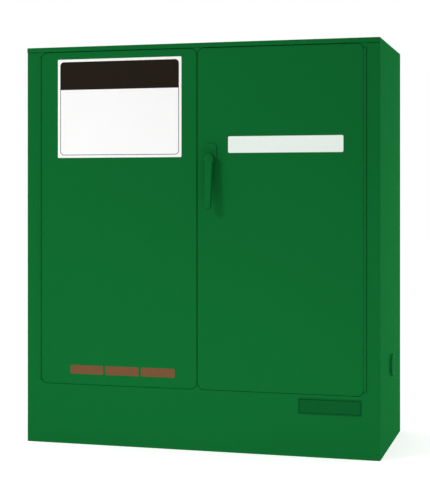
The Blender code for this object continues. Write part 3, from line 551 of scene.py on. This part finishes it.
def plated_steel(name, colour, roughness):
    """Plated steel: small crystal patches, fine rolling lines and a light bloom."""
    made, tree, shader, place = start_material(name)
    crystal = node(tree, "ShaderNodeTexVoronoi", Vector=place, Scale=260.0, Randomness=1.0)
    spangle = node(tree, "ShaderNodeSeparateColor", Color=crystal.outputs["Color"])
    lines = node(tree, "ShaderNodeMapping", Vector=place, Scale=(1400.0, 1400.0, 60.0))
    rolled = node(tree, "ShaderNodeTexNoise", Vector=lines.outputs[0], Scale=1.0, Detail=3.0)
    tone = use(tree, COLOUR_DRIFT, Color=(*colour, 1), Vector=place, Scale=7.0, Amount=0.2)
    bright = remap(tree, spangle.outputs[0], 0.0, 1.0, 0.9, 1.08)
    shaded = node(tree, "ShaderNodeHueSaturation", Color=tone["Color"], Value=bright)
    tree.links.new(shaded.outputs[0], shader.inputs["Base Color"])
    shader.inputs["Metallic"].default_value = 1.0
    rough = remap(tree, rolled.outputs[0], 0.3, 0.7, roughness - 0.07, roughness + 0.1)
    tree.links.new(rough, shader.inputs["Roughness"])
    relief = node(
        tree, "ShaderNodeBump", Strength=0.12, Distance=0.0001, Height=rolled.outputs[0]
    )
    tree.links.new(relief.outputs[0], shader.inputs["Normal"])
    return made


def centred(tree, place, low, high):
    """Object coordinates moved so that a plate's middle is zero."""
    middle = [-(low.x + high.x) / 2, 0, -(low.z + high.z) / 2]
    return node(tree, "ShaderNodeMapping", Vector=place, Location=middle).outputs[0]


def printed_plate(name, solid, ground, ink, line_inset, line_width, radius, header=None):
    """A plate with a rounded keyline just inside its edge and an optional dark head band.

    The line is where the field lies within half a line width of zero. The band is where
    the field is below zero and the height is above the band's foot.
    """
    low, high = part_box(solid)
    blur = 0.0002
    made, tree, shader, place = start_material(name)
    local = centred(tree, place, low, high)
    half_width = (high.x - low.x) / 2
    half_height = (high.z - low.z) / 2
    field = use(
        tree,
        ROUNDED_FIELD,
        Vector=local,
        Half_Width=half_width - line_inset,
        Half_Height=half_height - line_inset,
        Radius=radius,
    )
    off_line = calc(tree, "ABSOLUTE", field["Distance"])
    mask = remap(tree, off_line, line_width / 2 - blur, line_width / 2 + blur, 1.0, 0.0)
    if header:
        height = node(tree, "ShaderNodeSeparateXYZ", Vector=local).outputs["Z"]
        foot = half_height - line_inset - header
        above = remap(tree, height, foot - blur, foot + blur, 0.0, 1.0)
        within = remap(tree, field["Distance"], -blur, blur, 1.0, 0.0)
        mask = calc(tree, "MAXIMUM", mask, calc(tree, "MULTIPLY", above, within))
    fibre = use(tree, COAT_TEXTURE, Vector=place, Grain=1500.0, Ripple=120.0, Share=0.5)
    tone = use(tree, COLOUR_DRIFT, Color=(*ground, 1), Vector=place, Scale=6.0, Amount=0.05)
    tree.links.new(mixed(tree, mask, tone["Color"], (*ink, 1)), shader.inputs["Base Color"])
    gloss = calc(tree, "ADD", 0.36, calc(tree, "MULTIPLY", fibre["Mottle"], 0.12))
    rough = calc(tree, "ADD", gloss, calc(tree, "MULTIPLY", tone["Marks"], 0.06))
    tree.links.new(rough, shader.inputs["Roughness"])
    shader.inputs["Specular IOR Level"].default_value = 0.01
    height = calc(tree, "ADD", calc(tree, "MULTIPLY", fibre["Height"], 0.4), mask)
    relief = node(tree, "ShaderNodeBump", Strength=0.2, Distance=0.00008, Height=height)
    tree.links.new(relief.outputs[0], shader.inputs["Normal"])
    return made


# The body's green and the liner's, a little darker, are the coats' own. The hinge, bung, flange and
# rebate greens are painted lighter than the body's: painted light that lifts the shade falling in
# these narrow, set-back places.
BODY_GREEN = (0.0054, 0.136, 0.0280)
INNER_GREEN = (0.0050, 0.125, 0.0250)
PAINTED_LIGHT_HINGE_GREEN = (0.0059, 0.147, 0.0305)
PAINTED_LIGHT_FLANGE_GREEN = (0.0076, 0.190, 0.0392)
PAINTED_LIGHT_REBATE_GREEN = (0.0066, 0.166, 0.0340)

BODY_COAT = powder_coat("body_green_powder_coat", BODY_GREEN, 0.5, 0.0002)
INNER_COAT = powder_coat("inner_green_powder_coat", INNER_GREEN, 0.5, 0.01, dust=0.07)
HARDWARE_COAT = powder_coat("hardware_green_coat", BODY_GREEN, 0.45, 0.001, bump=0.1)
PAINTED_LIGHT_HINGE_COAT = powder_coat("hinge_green_painted_lighter", PAINTED_LIGHT_HINGE_GREEN, 0.45, 0.001, bump=0.1)
PAINTED_LIGHT_FLANGE_COAT = powder_coat("flange_green_painted_lighter", PAINTED_LIGHT_FLANGE_GREEN, 0.45, 0.001, bump=0.1)
PAINTED_LIGHT_REBATE_COAT = powder_coat("rebate_green_painted_lighter", PAINTED_LIGHT_REBATE_GREEN, 0.5, 0.0002)
ZINC = plated_steel("zinc_plated_steel", (0.58, 0.59, 0.60), 0.34)
BRIGHT = plated_steel("bright_drawn_steel", (0.55, 0.55, 0.56), 0.26)
# Near-black steel for the hinge pins: painted shade seen through the gaps between knuckles
PAINTED_SHADE_STEEL = plated_steel("hinge_steel_painted_shade", (0.05, 0.06, 0.05), 0.5)
SIGN_FACE = printed_plate(
    "blank_sign_face",
    "sign_card",
    ground=(0.97, 0.97, 0.965),
    ink=(0.018, 0.013, 0.009),
    line_inset=0.0085,
    line_width=0.0018,
    radius=0.011,
    header=0.083,
)
NAME_FACE = printed_plate(
    "blank_plate_face",
    "name_plate",
    ground=(0.0030, 0.098, 0.020),
    ink=(0.0030, 0.045, 0.011),
    line_inset=0.004,
    line_width=0.0020,
    radius=0.003,
)
WHITE_VINYL = powder_coat(
    "white_vinyl_film", (0.84, 0.92, 0.86), 0.45, 0.03, drift=0.03, dust=0.1, bump=0.05
)
RUST_VINYL = powder_coat(
    "rust_vinyl_film", (0.175, 0.078, 0.036), 0.5, 0.01, drift=0.10, dust=0.1, bump=0.05
)


# Body


def vent_centre(name):
    """Where a vent's axis meets its side wall, as depth and height."""
    low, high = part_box(f"vent_tube_{name}")
    return (low.y + high.y) / 2, (low.z + high.z) / 2


def behind_groove(points):
    """Points above the groove's foot, moved back to its back where they lie forward of it."""
    forward = (points[..., 2] > GROOVE_FOOT) & (points[..., 1] < GROOVE_BACK)
    points[..., 1] = np.where(forward, GROOVE_BACK, points[..., 1])
    return points


def build_body_shell():
    """Side walls, stiles and apron as one skin, folded round the two front corners.

    In plan the skin runs forward along each side, round a quarter circle, and across the
    front; it is drawn straight up. The door opening is left out of the grid, and its
    edges roll inwards through smaller quarter circles. A square cell round each vent is
    left out too, and a flat face with the vent's hole fills it. Both vents lie at one
    depth. Above the groove's foot, under the roof's lip, nothing lies further forward
    than the groove's back.
    """
    vents = [(side, *vent_centre(name)) for name, side in SIDES]
    vent_y = vents[1][1]
    corner = np.stack(
        [SIDE - FOLD + FOLD * np.sin(QUARTER), FACE + FOLD - FOLD * np.cos(QUARTER)], axis=-1
    )
    wing = np.vstack(
        [
            [OPENING + RIM, FACE],
            [OPENING + RIM + SUPPORT, FACE],
            [SIDE - FOLD - SUPPORT, FACE],
            corner,
            [SIDE, FACE + FOLD + SUPPORT],
            [SIDE, vent_y - VENT_CELL],
            [SIDE, vent_y + VENT_CELL],
            [SIDE, BACK],
        ]
    )
    plan = np.vstack([wing[::-1] * (-1, 1), wing])
    fold_foot = APRON - RIM
    heights = [0, fold_foot - SUPPORT, fold_foot, GROOVE_FOOT, GROOVE_FOOT + SHEET / 8, TOP]
    heights += [z + offset for _, _, z in vents for offset in (-VENT_CELL, VENT_CELL)]
    levels = np.unique(heights)
    vertices, (quads,) = grid(behind_groove(drawn_up(plan, levels)))
    middle = vertices[quads].mean(axis=1)
    in_opening = (np.abs(middle[:, 0]) < OPENING + RIM) & (middle[:, 2] > fold_foot)
    at_vent = np.zeros(len(quads), bool)
    surfaces = []
    for side, y, z in vents:
        on_wall = np.abs(middle[:, 0] - side * SIDE) < RIM
        near_axis = np.abs(middle[:, 1:] - (y, z)) < VENT_CELL / 2
        at_vent |= on_wall & near_axis.all(axis=1)
        cell = np.array([[1, -1], [1, 1], [-1, 1], [-1, -1]]) * VENT_CELL + (y, z)
        hole = ring(y, z, VENT_HOLE, 64, -math.pi / 4)
        surfaces.append(holed(raised(cell, "x", side * SIDE), raised(hole, "x", side * SIDE)))
    surfaces.append((vertices, [quads[~(in_opening | at_vent)]]))

    roll = RIM - RIM * np.cos(QUARTER)
    drop = RIM * np.sin(QUARTER)
    stile_path = np.vstack(
        [
            np.stack([OPENING + RIM - drop, FACE + roll], axis=-1),
            [OPENING, FACE + RIM + SUPPORT],
            [OPENING, FRAME_BACK],
        ]
    )
    upper = levels[levels >= fold_foot]
    for _, side in SIDES:
        surfaces.append(grid(behind_groove(drawn_up(stile_path * (side, 1), upper))))
    lip = np.vstack(
        [
            np.stack([FACE + roll, fold_foot + drop], axis=-1),
            [FACE + RIM + SUPPORT, APRON],
            [REBATE_BACK, APRON],
        ]
    )
    ends = np.array([-OPENING - RIM, OPENING + RIM])
    surfaces.append(grid(drawn_across(ends, np.broadcast_to(lip, (2, *lip.shape)))))
    piece(
        "body_shell",
        surfaces,
        "cabinet",
        BODY_COAT,
        ("left_side_panel", "right_side_panel", "left_stile", "right_stile", "sump_apron"),
        SHEET,
    )


def build_roof():
    """The roof sheet: its section is drawn across, and sinks by a quarter circle at each end."""
    front, back = roof_low.y, roof_high.y
    top, foot = roof_high.z, roof_low.z
    section = filleted([[back, top], [front, top], [front, foot]], FOLD, 8)
    behind_fold = [[front + FOLD + SUPPORT, top]]
    below_fold = [[front, top - FOLD - SUPPORT]]
    section = np.vstack([section[:1], behind_fold, section[1:-1], below_fold, section[-1:]])
    along = np.gradient(section, axis=0)
    along[:2] = (-1, 0)
    along[-2:] = (0, -1)
    along /= np.linalg.norm(along, axis=1, keepdims=True)
    outward = np.stack([along[:, 1], -along[:, 0]], axis=-1)
    end = SIDE - SHEET + SHEET * np.sin(QUARTER)
    sink = SHEET * (1 - np.cos(QUARTER))
    stations = np.concatenate([-end[::-1], [-SIDE + 2 * SHEET, SIDE - 2 * SHEET], end])
    depth = np.concatenate([sink[::-1], [0, 0], sink])
    order = np.argsort(stations, kind="stable")
    stations, depth = stations[order], depth[order]
    sections = section[None] - outward[None] * depth[:, None, None]
    piece(
        "roof_sheet",
        [grid(drawn_across(stations, sections))],
        "cabinet",
        BODY_COAT,
        ("roof_panel",),
        SHEET,
    )


# Doors


def build_door_pans():
    """Each door's outer pan: a flat face, a quarter-round edge and a short return.

    The pan stands past its solid into the gaps at its head, foot and free edge.
    """
    for name, side in SIDES:
        low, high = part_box(f"{name}_door_skin")
        outline = rounded_outline(
            low.x - (PAN_EDGE_REACH if side > 0 else 0),
            low.z - PAN_FOOT_REACH,
            high.x + (PAN_EDGE_REACH if side < 0 else 0),
            high.z + PAN_HEAD_REACH,
            PAN_CORNER,
        )
        piece(
            f"{name}_door_pan",
            [stack(slab(outline, low.y, high.y, PAN_EDGE), last=False)],
            f"{name}_door",
            BODY_COAT,
            (f"{name}_door_skin",),
            SHEET,
        )


def web_arc(centre_x, centre_z, up, radius, last_turn):
    """A door corner's circle, from its lowest or highest point round to a turn."""
    turns = np.linspace(math.pi / 2, last_turn, 13)
    across = centre_x + radius * np.cos(turns)
    return np.stack([across, centre_z - up * radius * np.sin(turns)], axis=-1)


def middle_web(centre_z, up, base):
    """A middle web: up one door's circle to where its mirror image meets it, and down that."""
    free_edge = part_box("right_door_skin")[0].x - PAN_EDGE_REACH
    centre_x = -free_edge - PAN_CORNER

    def outline(inset):
        radius = PAN_CORNER + WEB_GAP + inset
        climb = web_arc(centre_x, centre_z, up, radius, math.acos(-centre_x / radius))
        fall = climb[-2::-1] * (-1, 1)
        return np.vstack([[[centre_x, base]], climb, fall, [[-centre_x, base]]])

    return outline


def outer_web(centre_z, up, base, hinge_end, side):
    """An outer web: up its door's circle to the hinge's end, then across to the stile."""
    centre_x = -skin_low.x - PAN_CORNER

    def outline(inset):
        radius = PAN_CORNER + WEB_GAP + inset
        stop = hinge_end - up * (HINGE_END_GAP + inset)
        last_turn = math.asin(up * (centre_z - stop) / radius)
        climb = web_arc(centre_x, centre_z, up, radius, last_turn)
        stile = [[OPENING + RIM, stop], [OPENING + RIM, base]]
        return np.vstack([[[centre_x, base]], climb, stile]) * (side, 1)

    return outline


def build_corner_webs():
    """Flush webs that fill the frame's corners outside the doors' round corners.

    Each outline follows a door corner's quarter circle at the web gap. Its base lies below
    the apron's rounded edge, or just under the roof's lip.
    """
    leaf_low, leaf_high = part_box("right_hinge_frame_leaf")
    rows = (
        ("foot", skin_low.z - PAN_FOOT_REACH, 1, leaf_low.z, RIM),
        ("head", skin_high.z + PAN_HEAD_REACH, -1, leaf_high.z, SHEET / 3),
    )
    front = FACE - WEB_PROUD
    for row, level, up, hinge_end, under in rows:
        centre_z = level + up * PAN_CORNER
        base = level - up * (WEB_GAP + under)
        webs = [("middle", middle_web(centre_z, up, base))]
        webs += [(name, outer_web(centre_z, up, base, hinge_end, side)) for name, side in SIDES]
        for place, outline in webs:
            loops = [
                raised(outline(WEB_EDGE), "y", front),
                raised(outline(0), "y", front + WEB_EDGE),
                raised(outline(0), "y", FACE + SHEET),
            ]
            piece(
                f"corner_web_{row}_{place}",
                [stack(np.stack(loops))],
                "cabinet",
                BODY_COAT,
            )


def knuckle_plan(side, hand, axis_x, depth):
    """The plan of one curled knuckle: an arc on the pin's centre, then a straight leaf."""
    turns = np.linspace(0, KNUCKLE_CURL, 29)
    arc = np.stack([np.cos(turns), -np.sin(turns)], axis=-1)
    leaf = np.array([[KNUCKLE_BORE, depth], [KNUCKLE_RADIUS, depth]])
    plan = np.vstack([KNUCKLE_RADIUS * arc, KNUCKLE_BORE * arc[::-1], leaf])
    return np.stack([side * (axis_x + hand * plan[:, 0]), FACE + plan[:, 1]], axis=-1)


def build_hinges():
    """Continuous hinges: knuckles of the frame leaf and of the door leaf by turns."""
    for name, side in SIDES:
        low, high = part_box(f"{name}_hinge_pin")
        axis_x = abs(low.x + high.x) / 2
        pitch = (high.z - low.z) / KNUCKLES
        for leaf, hand, first in (("frame_leaf", 1, 0), ("door_leaf", -1, 1)):
            leaf_low, leaf_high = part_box(f"{name}_hinge_{leaf}")
            plan = knuckle_plan(side, hand, axis_x, leaf_high.y - FACE)
            surfaces = []
            for index in range(first, KNUCKLES, 2):
                foot = low.z + index * pitch + KNUCKLE_GAP / 2
                head = foot + pitch - KNUCKLE_GAP
                surfaces.append(stack(np.stack([raised(plan, "z", foot), raised(plan, "z", head)])))
            left, right = sorted(
                side * (axis_x + hand * reach) for reach in (KNUCKLE_BORE, KNUCKLE_RADIUS)
            )
            near, far = FACE + KNUCKLE_RADIUS + LEAF_GAP, leaf_high.y
            strip = np.array([[left, near], [right, near], [right, far], [left, far]])
            ends = [raised(strip, "z", leaf_low.z), raised(strip, "z", leaf_high.z)]
            surfaces.append(stack(np.stack(ends)))
            # The knuckles' green is painted lighter than the body's, to lift the shade beside the
            # barrels
            piece(
                f"{name}_hinge_{leaf}_knuckles",
                surfaces,
                "cabinet" if hand > 0 else f"{name}_door",
                PAINTED_LIGHT_HINGE_COAT,
                (f"{name}_hinge_{leaf}",),
                angle=50,
            )


# Handle


def handle_centre():
    """The lever's axis on the door's face, as distances across and up."""
    low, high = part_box("handle_plate")
    return (low.x + high.x) / 2, (low.z + high.z) / 2


def build_backplate():
    """The handle's backing plate, with broad round corners and a soft front edge."""
    low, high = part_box("handle_plate")
    outline = rounded_outline(low.x, low.z, high.x, high.z, (high.x - low.x) / 3)
    piece(
        "handle_backplate",
        [stack(slab(outline, low.y, high.y, RIM))],
        "right_door",
        HARDWARE_COAT,
        ("handle_plate",),
    )


def build_lever():
    """The hanging lever with its hub.

    The arm is a squarish loop, with cosine and sine raised to one power, set at each
    height. It narrows from crown to tip, leans forward and thins below the bend, and
    fills out at either end as a quarter circle does. The hub is a spun profile.
    """
    x, z = handle_centre()
    lever_low, lever_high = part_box("handle_lever")
    hub_front, hub_back = FACE - HUB_PROUD, lever_high.y
    crown, tip = z + LEVER_CROWN, lever_low.z
    heights = np.concatenate(
        [
            [crown],
            crown - LEVER_END * (1 - np.cos(QUARTER[1:])),
            np.linspace(crown - LEVER_END * 3 / 2, tip + LEVER_END * 4 / 3, 26),
            tip + LEVER_END * (1 - np.sin(QUARTER[1:])),
        ]
    )
    share = np.clip((crown - heights) / (crown - tip), 0, 1)
    bend = z - LEVER_BEND
    fall = np.clip((bend - heights) / (bend - tip), 0, 1)
    crown_width, tip_width = LEVER_HALF_WIDTHS
    half_width = crown_width + (tip_width - crown_width) * share
    hub_thickness, tip_thickness = LEVER_THICKNESSES
    half_depth = (hub_thickness + (tip_thickness - hub_thickness) * fall) / 2
    front = hub_front - LEVER_LEAN * fall
    swell = np.minimum(dome(crown - heights, LEVER_END), dome(heights - tip, LEVER_END))
    turns = np.linspace(0, 2 * math.pi, 41)[:-1]
    circle_x = np.sign(np.cos(turns)) * np.abs(np.cos(turns)) ** LEVER_SQUARENESS
    circle_y = np.sign(np.sin(turns)) * np.abs(np.sin(turns)) ** LEVER_SQUARENESS
    width = half_width * (0.55 + 0.45 * swell) * (swell > 0)
    across = x + width[:, None] * circle_x
    deep = (front + half_depth)[:, None] + (half_depth * swell)[:, None] * circle_y
    arm = np.stack([across, deep, np.broadcast_to(heights[:, None], across.shape)], axis=-1)
    hub = filleted(
        [
            [0, hub_front + HUB_EDGE],
            [HUB_RADIUS - HUB_EDGE, hub_front + HUB_EDGE],
            [HUB_RADIUS, hub_front + HUB_BEVEL],
            [HUB_RADIUS, hub_back - HUB_FLARE],
            [HUB_FOOT_RADIUS, hub_back],
            [0, hub_back],
        ],
        HUB_EDGE,
    )
    piece(
        "sculpted_lever",
        [stack(arm, False, False), grid(turned(hub, "y", (x, z)), close_v=True)],
        "handle",
        HARDWARE_COAT,
        ("handle_lever",),
        angle=40,
    )


def build_lock():
    """The keyed cylinder in the hub: a spun shell whose face has a slot for the key."""
    x, z = handle_centre()
    low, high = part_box("lock_cylinder")
    radius = (high.x - low.x) / 2
    rim = filleted(
        [[radius - LOCK_EDGE, low.y], [radius, low.y + LOCK_EDGE], [radius, high.y]],
        LOCK_EDGE / 2,
    )
    shell = turned(rim, "y", (x, z), 48)
    slot = rounded(
        x - KEY_HALF_WIDTH,
        z - KEY_HALF_HEIGHT,
        x + KEY_HALF_WIDTH,
        z + KEY_HALF_HEIGHT,
        KEY_CORNER,
        3,
    )
    slot = np.roll(slot, -2, axis=0)
    mouth = raised(slot, "y", low.y)
    floor = raised(slot, "y", low.y + KEY_DEPTH)
    piece(
        "keyed_cylinder",
        [
            stack(shell, first=False),
            holed(shell[0], mouth),
            stack(np.stack([mouth, floor]), first=False),
        ],
        "lock",
        HARDWARE_COAT,
        ("lock_cylinder",),
        angle=40,
    )


# Vents


def ends_out(solid):
    """The inner and the outer end of a solid on a side wall, from the cabinet's middle."""
    low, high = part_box(solid)
    return sorted((abs(low.x), abs(high.x)))


def build_flange(name, side):
    """A vent's tube and flange: a closed profile spun round the vent's axis."""
    inner, front = ends_out(f"vent_tube_{name}")
    seat = SIDE + VENT_SEAT
    wall = filleted(
        [
            [TUBE_BORE, inner],
            [TUBE_RADIUS, inner],
            [TUBE_RADIUS, seat],
            [FLANGE_RADIUS, seat],
            [FLANGE_RADIUS, seat + RIM / 2],
            [FLANGE_RADIUS - 2 * RIM, front],
            [TUBE_BORE, front],
        ],
        RIM,
    )
    wall = np.vstack([wall, wall[:1]]) * (1, side)
    # The flange's green is painted lighter than the body's, to lift the shade on its rim
    piece(
        f"vent_flange_{name}",
        [grid(turned(wall, "x", vent_centre(name), 96), close_v=True)],
        "cabinet",
        PAINTED_LIGHT_FLANGE_COAT,
        (f"vent_tube_{name}",),
        angle=50,
    )


def build_bung(name, side):
    """A push-in bung with two scooped finger grips.

    Its face is rings by turns. The rings fall by a quarter circle at the disc's rim, and
    sink by the grip's depth inside either grip's oblong, over a short slope.
    """
    y, z = vent_centre(name)
    end, face = ends_out(f"vent_bung_{name}")
    back = ends_out(f"vent_tube_{name}")[1] + VENT_SEAT
    flat = DISC_RADIUS - DISC_ROUND
    radii = np.concatenate([np.linspace(0, flat, 32), flat + DISC_ROUND * np.sin(QUARTER[1:])])
    fall = np.concatenate([np.zeros(32), DISC_ROUND * (1 - np.cos(QUARTER[1:]))])
    turns = np.arange(96) * 2 * math.pi / 96
    first = radii[:, None] * np.cos(turns)
    second = radii[:, None] * np.sin(turns)
    off_grip = np.maximum(
        np.abs(np.abs(first) - GRIP_OFFSET) - GRIP_HALF_WIDTH, np.abs(second) - GRIP_HALF_HEIGHT
    )
    scoop = GRIP_DEPTH * np.clip(0.5 - off_grip / GRIP_SLOPE, 0, 1)
    top = np.stack([side * (face - fall[:, None] - scoop), y + first, z + second], axis=-1)
    body = filleted(
        [
            [DISC_RADIUS, face - DISC_ROUND],
            [DISC_RADIUS, back],
            [PLUG_RADIUS, back],
            [PLUG_RADIUS, end],
            [PLUG_BORE, end],
            [PLUG_BORE, back],
            [0, back],
        ],
        PLUG_EDGE,
        3,
    )
    body = turned(body * (1, side), "x", (y, z), 96)
    # The bung takes the hinges' green, painted lighter than the body's to lift the shade on its rim
    piece(
        f"vent_plug_{name}",
        [grid(top, close_v=True), grid(body, close_v=True)],
        f"vent_bung_{name}",
        PAINTED_LIGHT_HINGE_COAT,
        (f"vent_bung_{name}",),
        angle=50,
    )


# Plates


def build_plate(name, corners, radius, gauge, body, coat, stands_for=()):
    """A flat plate or film just off the cabinet's face, with round corners and a soft edge."""
    (left, foot), (right, head) = corners
    outline = rounded_outline(left, foot, right, head, radius, 8)
    back = FACE - PLATE_SEAT
    loops = slab(outline, back - gauge, back, min(PLATE_EDGE, gauge / 2))
    piece(name, [stack(loops)], body, coat, stands_for)


def build_plates():
    """The blank sign, the blank plate, and the plain strips on the doors."""
    for name, solid, body, coat, slot in (
        ("blank_sign", "sign_card", "left_door", SIGN_FACE, "white_card"),
        ("blank_plate", "name_plate", "cabinet", NAME_FACE, "dark_plate"),
    ):
        low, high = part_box(solid)
        corners = (low.x, low.z), (high.x, high.z)
        build_plate(name, corners, PLATE_CORNER, PLATE_GAUGE, body, coat, (solid,))
    build_plate(
        "blank_white_strip",
        WHITE_STRIP,
        WHITE_STRIP_CORNER,
        FILM_GAUGE,
        "right_door",
        WHITE_VINYL,
    )
    foot, head = RUST_STRIP_HEIGHTS
    for index in range(3):
        left = RUST_STRIP_LEFT + index * (RUST_STRIP_LENGTH + RUST_STRIP_GAP)
        build_plate(
            f"blank_rust_strip_{index + 1}",
            ((left, foot), (left + RUST_STRIP_LENGTH, head)),
            PLATE_CORNER,
            FILM_GAUGE,
            "left_door",
            RUST_VINYL,
        )


def finish_solids():
    """Gives every solid the finish of its slot, and some hidden steel its own: the hinge pins'
    near-black steel is painted shade in the knuckle gaps, and the door head and sill take a green
    painted lighter to lift the shade round the doors.
    """
    coats = {
        "green_powder_coat": BODY_COAT,
        "green_liner_coat": INNER_COAT,
        "bright_steel": ZINC,
        "white_card": SIGN_FACE,
        "dark_plate": NAME_FACE,
        "lock_nickel": BRIGHT,
    }
    own = dict.fromkeys(("spindle", "pinion", "upper_rod", "lower_rod"), BRIGHT)
    # The hinge pins' near-black steel is painted shade in the gaps between knuckles
    own |= dict.fromkeys(("left_hinge_pin", "right_hinge_pin"), PAINTED_SHADE_STEEL)
    # The door head and sill take the rebate green, painted lighter to lift the shade in the gaps
    # round the doors
    own |= dict.fromkeys(("door_head", "door_sill"), PAINTED_LIGHT_REBATE_COAT)
    for name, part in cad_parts.items():
        kept = [slot.material.name for slot in part.material_slots if slot.material]
        label = next((key for key in coats if kept and kept[0].startswith(key)), None)
        chosen = own.get(name) or coats.get(label, BODY_COAT)
        for slot in part.material_slots:
            slot.material = chosen
        if not part.material_slots:
            part.data.materials.append(chosen)


build_body_shell()
build_roof()
build_door_pans()
build_corner_webs()
build_hinges()
build_backplate()
build_lever()
build_lock()
for side_name, side_sign in SIDES:
    build_flange(side_name, side_sign)
    build_bung(side_name, side_sign)
build_plates()
finish_solids()


# Floor, light and camera

FLOOR_REACH = 15
FLOOR_GLOW = 0.57
ROOM_LIGHT = 0.61
# Name, place, aim, width, height and power in watts
LAMPS = (
    ("key", (-1.6, -2.4, 2.2), (-0.3, 0, 0.8), 0.4, 0.4, 27),
    ("low_fill", (0.0, -1.1, 0.05), (0.0, 0, 0.02), 2.0, 0.08, 4.4),
    ("side", (2.7, 1.0, 0.2), (0.535, 0, 0.15), 1.0, 0.4, 36),
)
CAMERA_PLACE = (1.0173, -3.7266, 0.7592)
CAMERA_TURN = math.radians(15.385)
CAMERA_LENS = 89.91
CAMERA_SHIFT = -0.1191


def backdrop_share(tree):
    """One for rays from the camera and for mirror and glass rays, which see plain white."""
    path = node(tree, "ShaderNodeLightPath").outputs
    seen = calc(tree, "MAXIMUM", path["Is Camera Ray"], path["Is Glossy Ray"])
    return calc(tree, "MAXIMUM", seen, path["Is Transmission Ray"])


def build_floor():
    """A pale floor, pure white to the camera but for the cabinet's faint shadow."""
    reach = FLOOR_REACH
    corners = [(-reach, -reach, 0), (reach, -reach, 0), (reach, reach, 0), (-reach, reach, 0)]
    mesh = bpy.data.meshes.new("floor")
    mesh.from_pydata(corners, [], [(0, 1, 2, 3)])
    floor = bpy.data.objects.new("floor", mesh)
    bpy.context.scene.collection.objects.link(floor)
    made, tree, shader, _ = start_material("pale_floor")
    shader.inputs["Base Color"].default_value = (0.8, 0.8, 0.8, 1)
    shader.inputs["Roughness"].default_value = 0.9
    shader.inputs["Specular IOR Level"].default_value = 0.0
    shader.inputs["Emission Color"].default_value = (1, 1, 1, 1)
    glow = calc(tree, "MULTIPLY", backdrop_share(tree), FLOOR_GLOW)
    tree.links.new(glow, shader.inputs["Emission Strength"])
    mesh.materials.append(made)


def build_world():
    """Even light from all round, white to the camera."""
    world = bpy.data.worlds.new("soft_white")
    bpy.context.scene.world = world
    world.use_nodes = True
    tree = world.node_tree
    sky = tree.nodes["Background"]
    sky.inputs["Color"].default_value = (1, 1, 1, 1)
    strength = remap(tree, backdrop_share(tree), 0.0, 1.0, ROOM_LIGHT, 1.0)
    tree.links.new(strength, sky.inputs["Strength"])


def build_lamp(name, place, aim, width, height, power):
    """A soft oblong light that points at a place on the cabinet or the floor."""
    lamp = bpy.data.lights.new(name, "AREA")
    lamp.shape = "RECTANGLE"
    lamp.size = width
    lamp.size_y = height
    lamp.energy = power
    holder = bpy.data.objects.new(name, lamp)
    holder.visible_camera = False
    bpy.context.scene.collection.objects.link(holder)
    holder.location = place
    holder.rotation_euler = (Vector(aim) - Vector(place)).to_track_quat("-Z", "Y").to_euler()


def build_camera():
    """The photograph's viewpoint: level, right of the middle, with a little downward shift."""
    lens = bpy.data.cameras.new("camera")
    lens.lens = CAMERA_LENS
    lens.sensor_width = 36
    lens.shift_y = CAMERA_SHIFT
    camera = bpy.data.objects.new("camera", lens)
    camera.location = CAMERA_PLACE
    camera.rotation_euler = (math.radians(90), 0, CAMERA_TURN)
    bpy.context.scene.collection.objects.link(camera)
    bpy.context.scene.camera = camera


build_floor()
build_world()
for lamp_settings in LAMPS:
    build_lamp(*lamp_settings)
build_camera()
bpy.context.scene.view_settings.view_transform = "Standard"
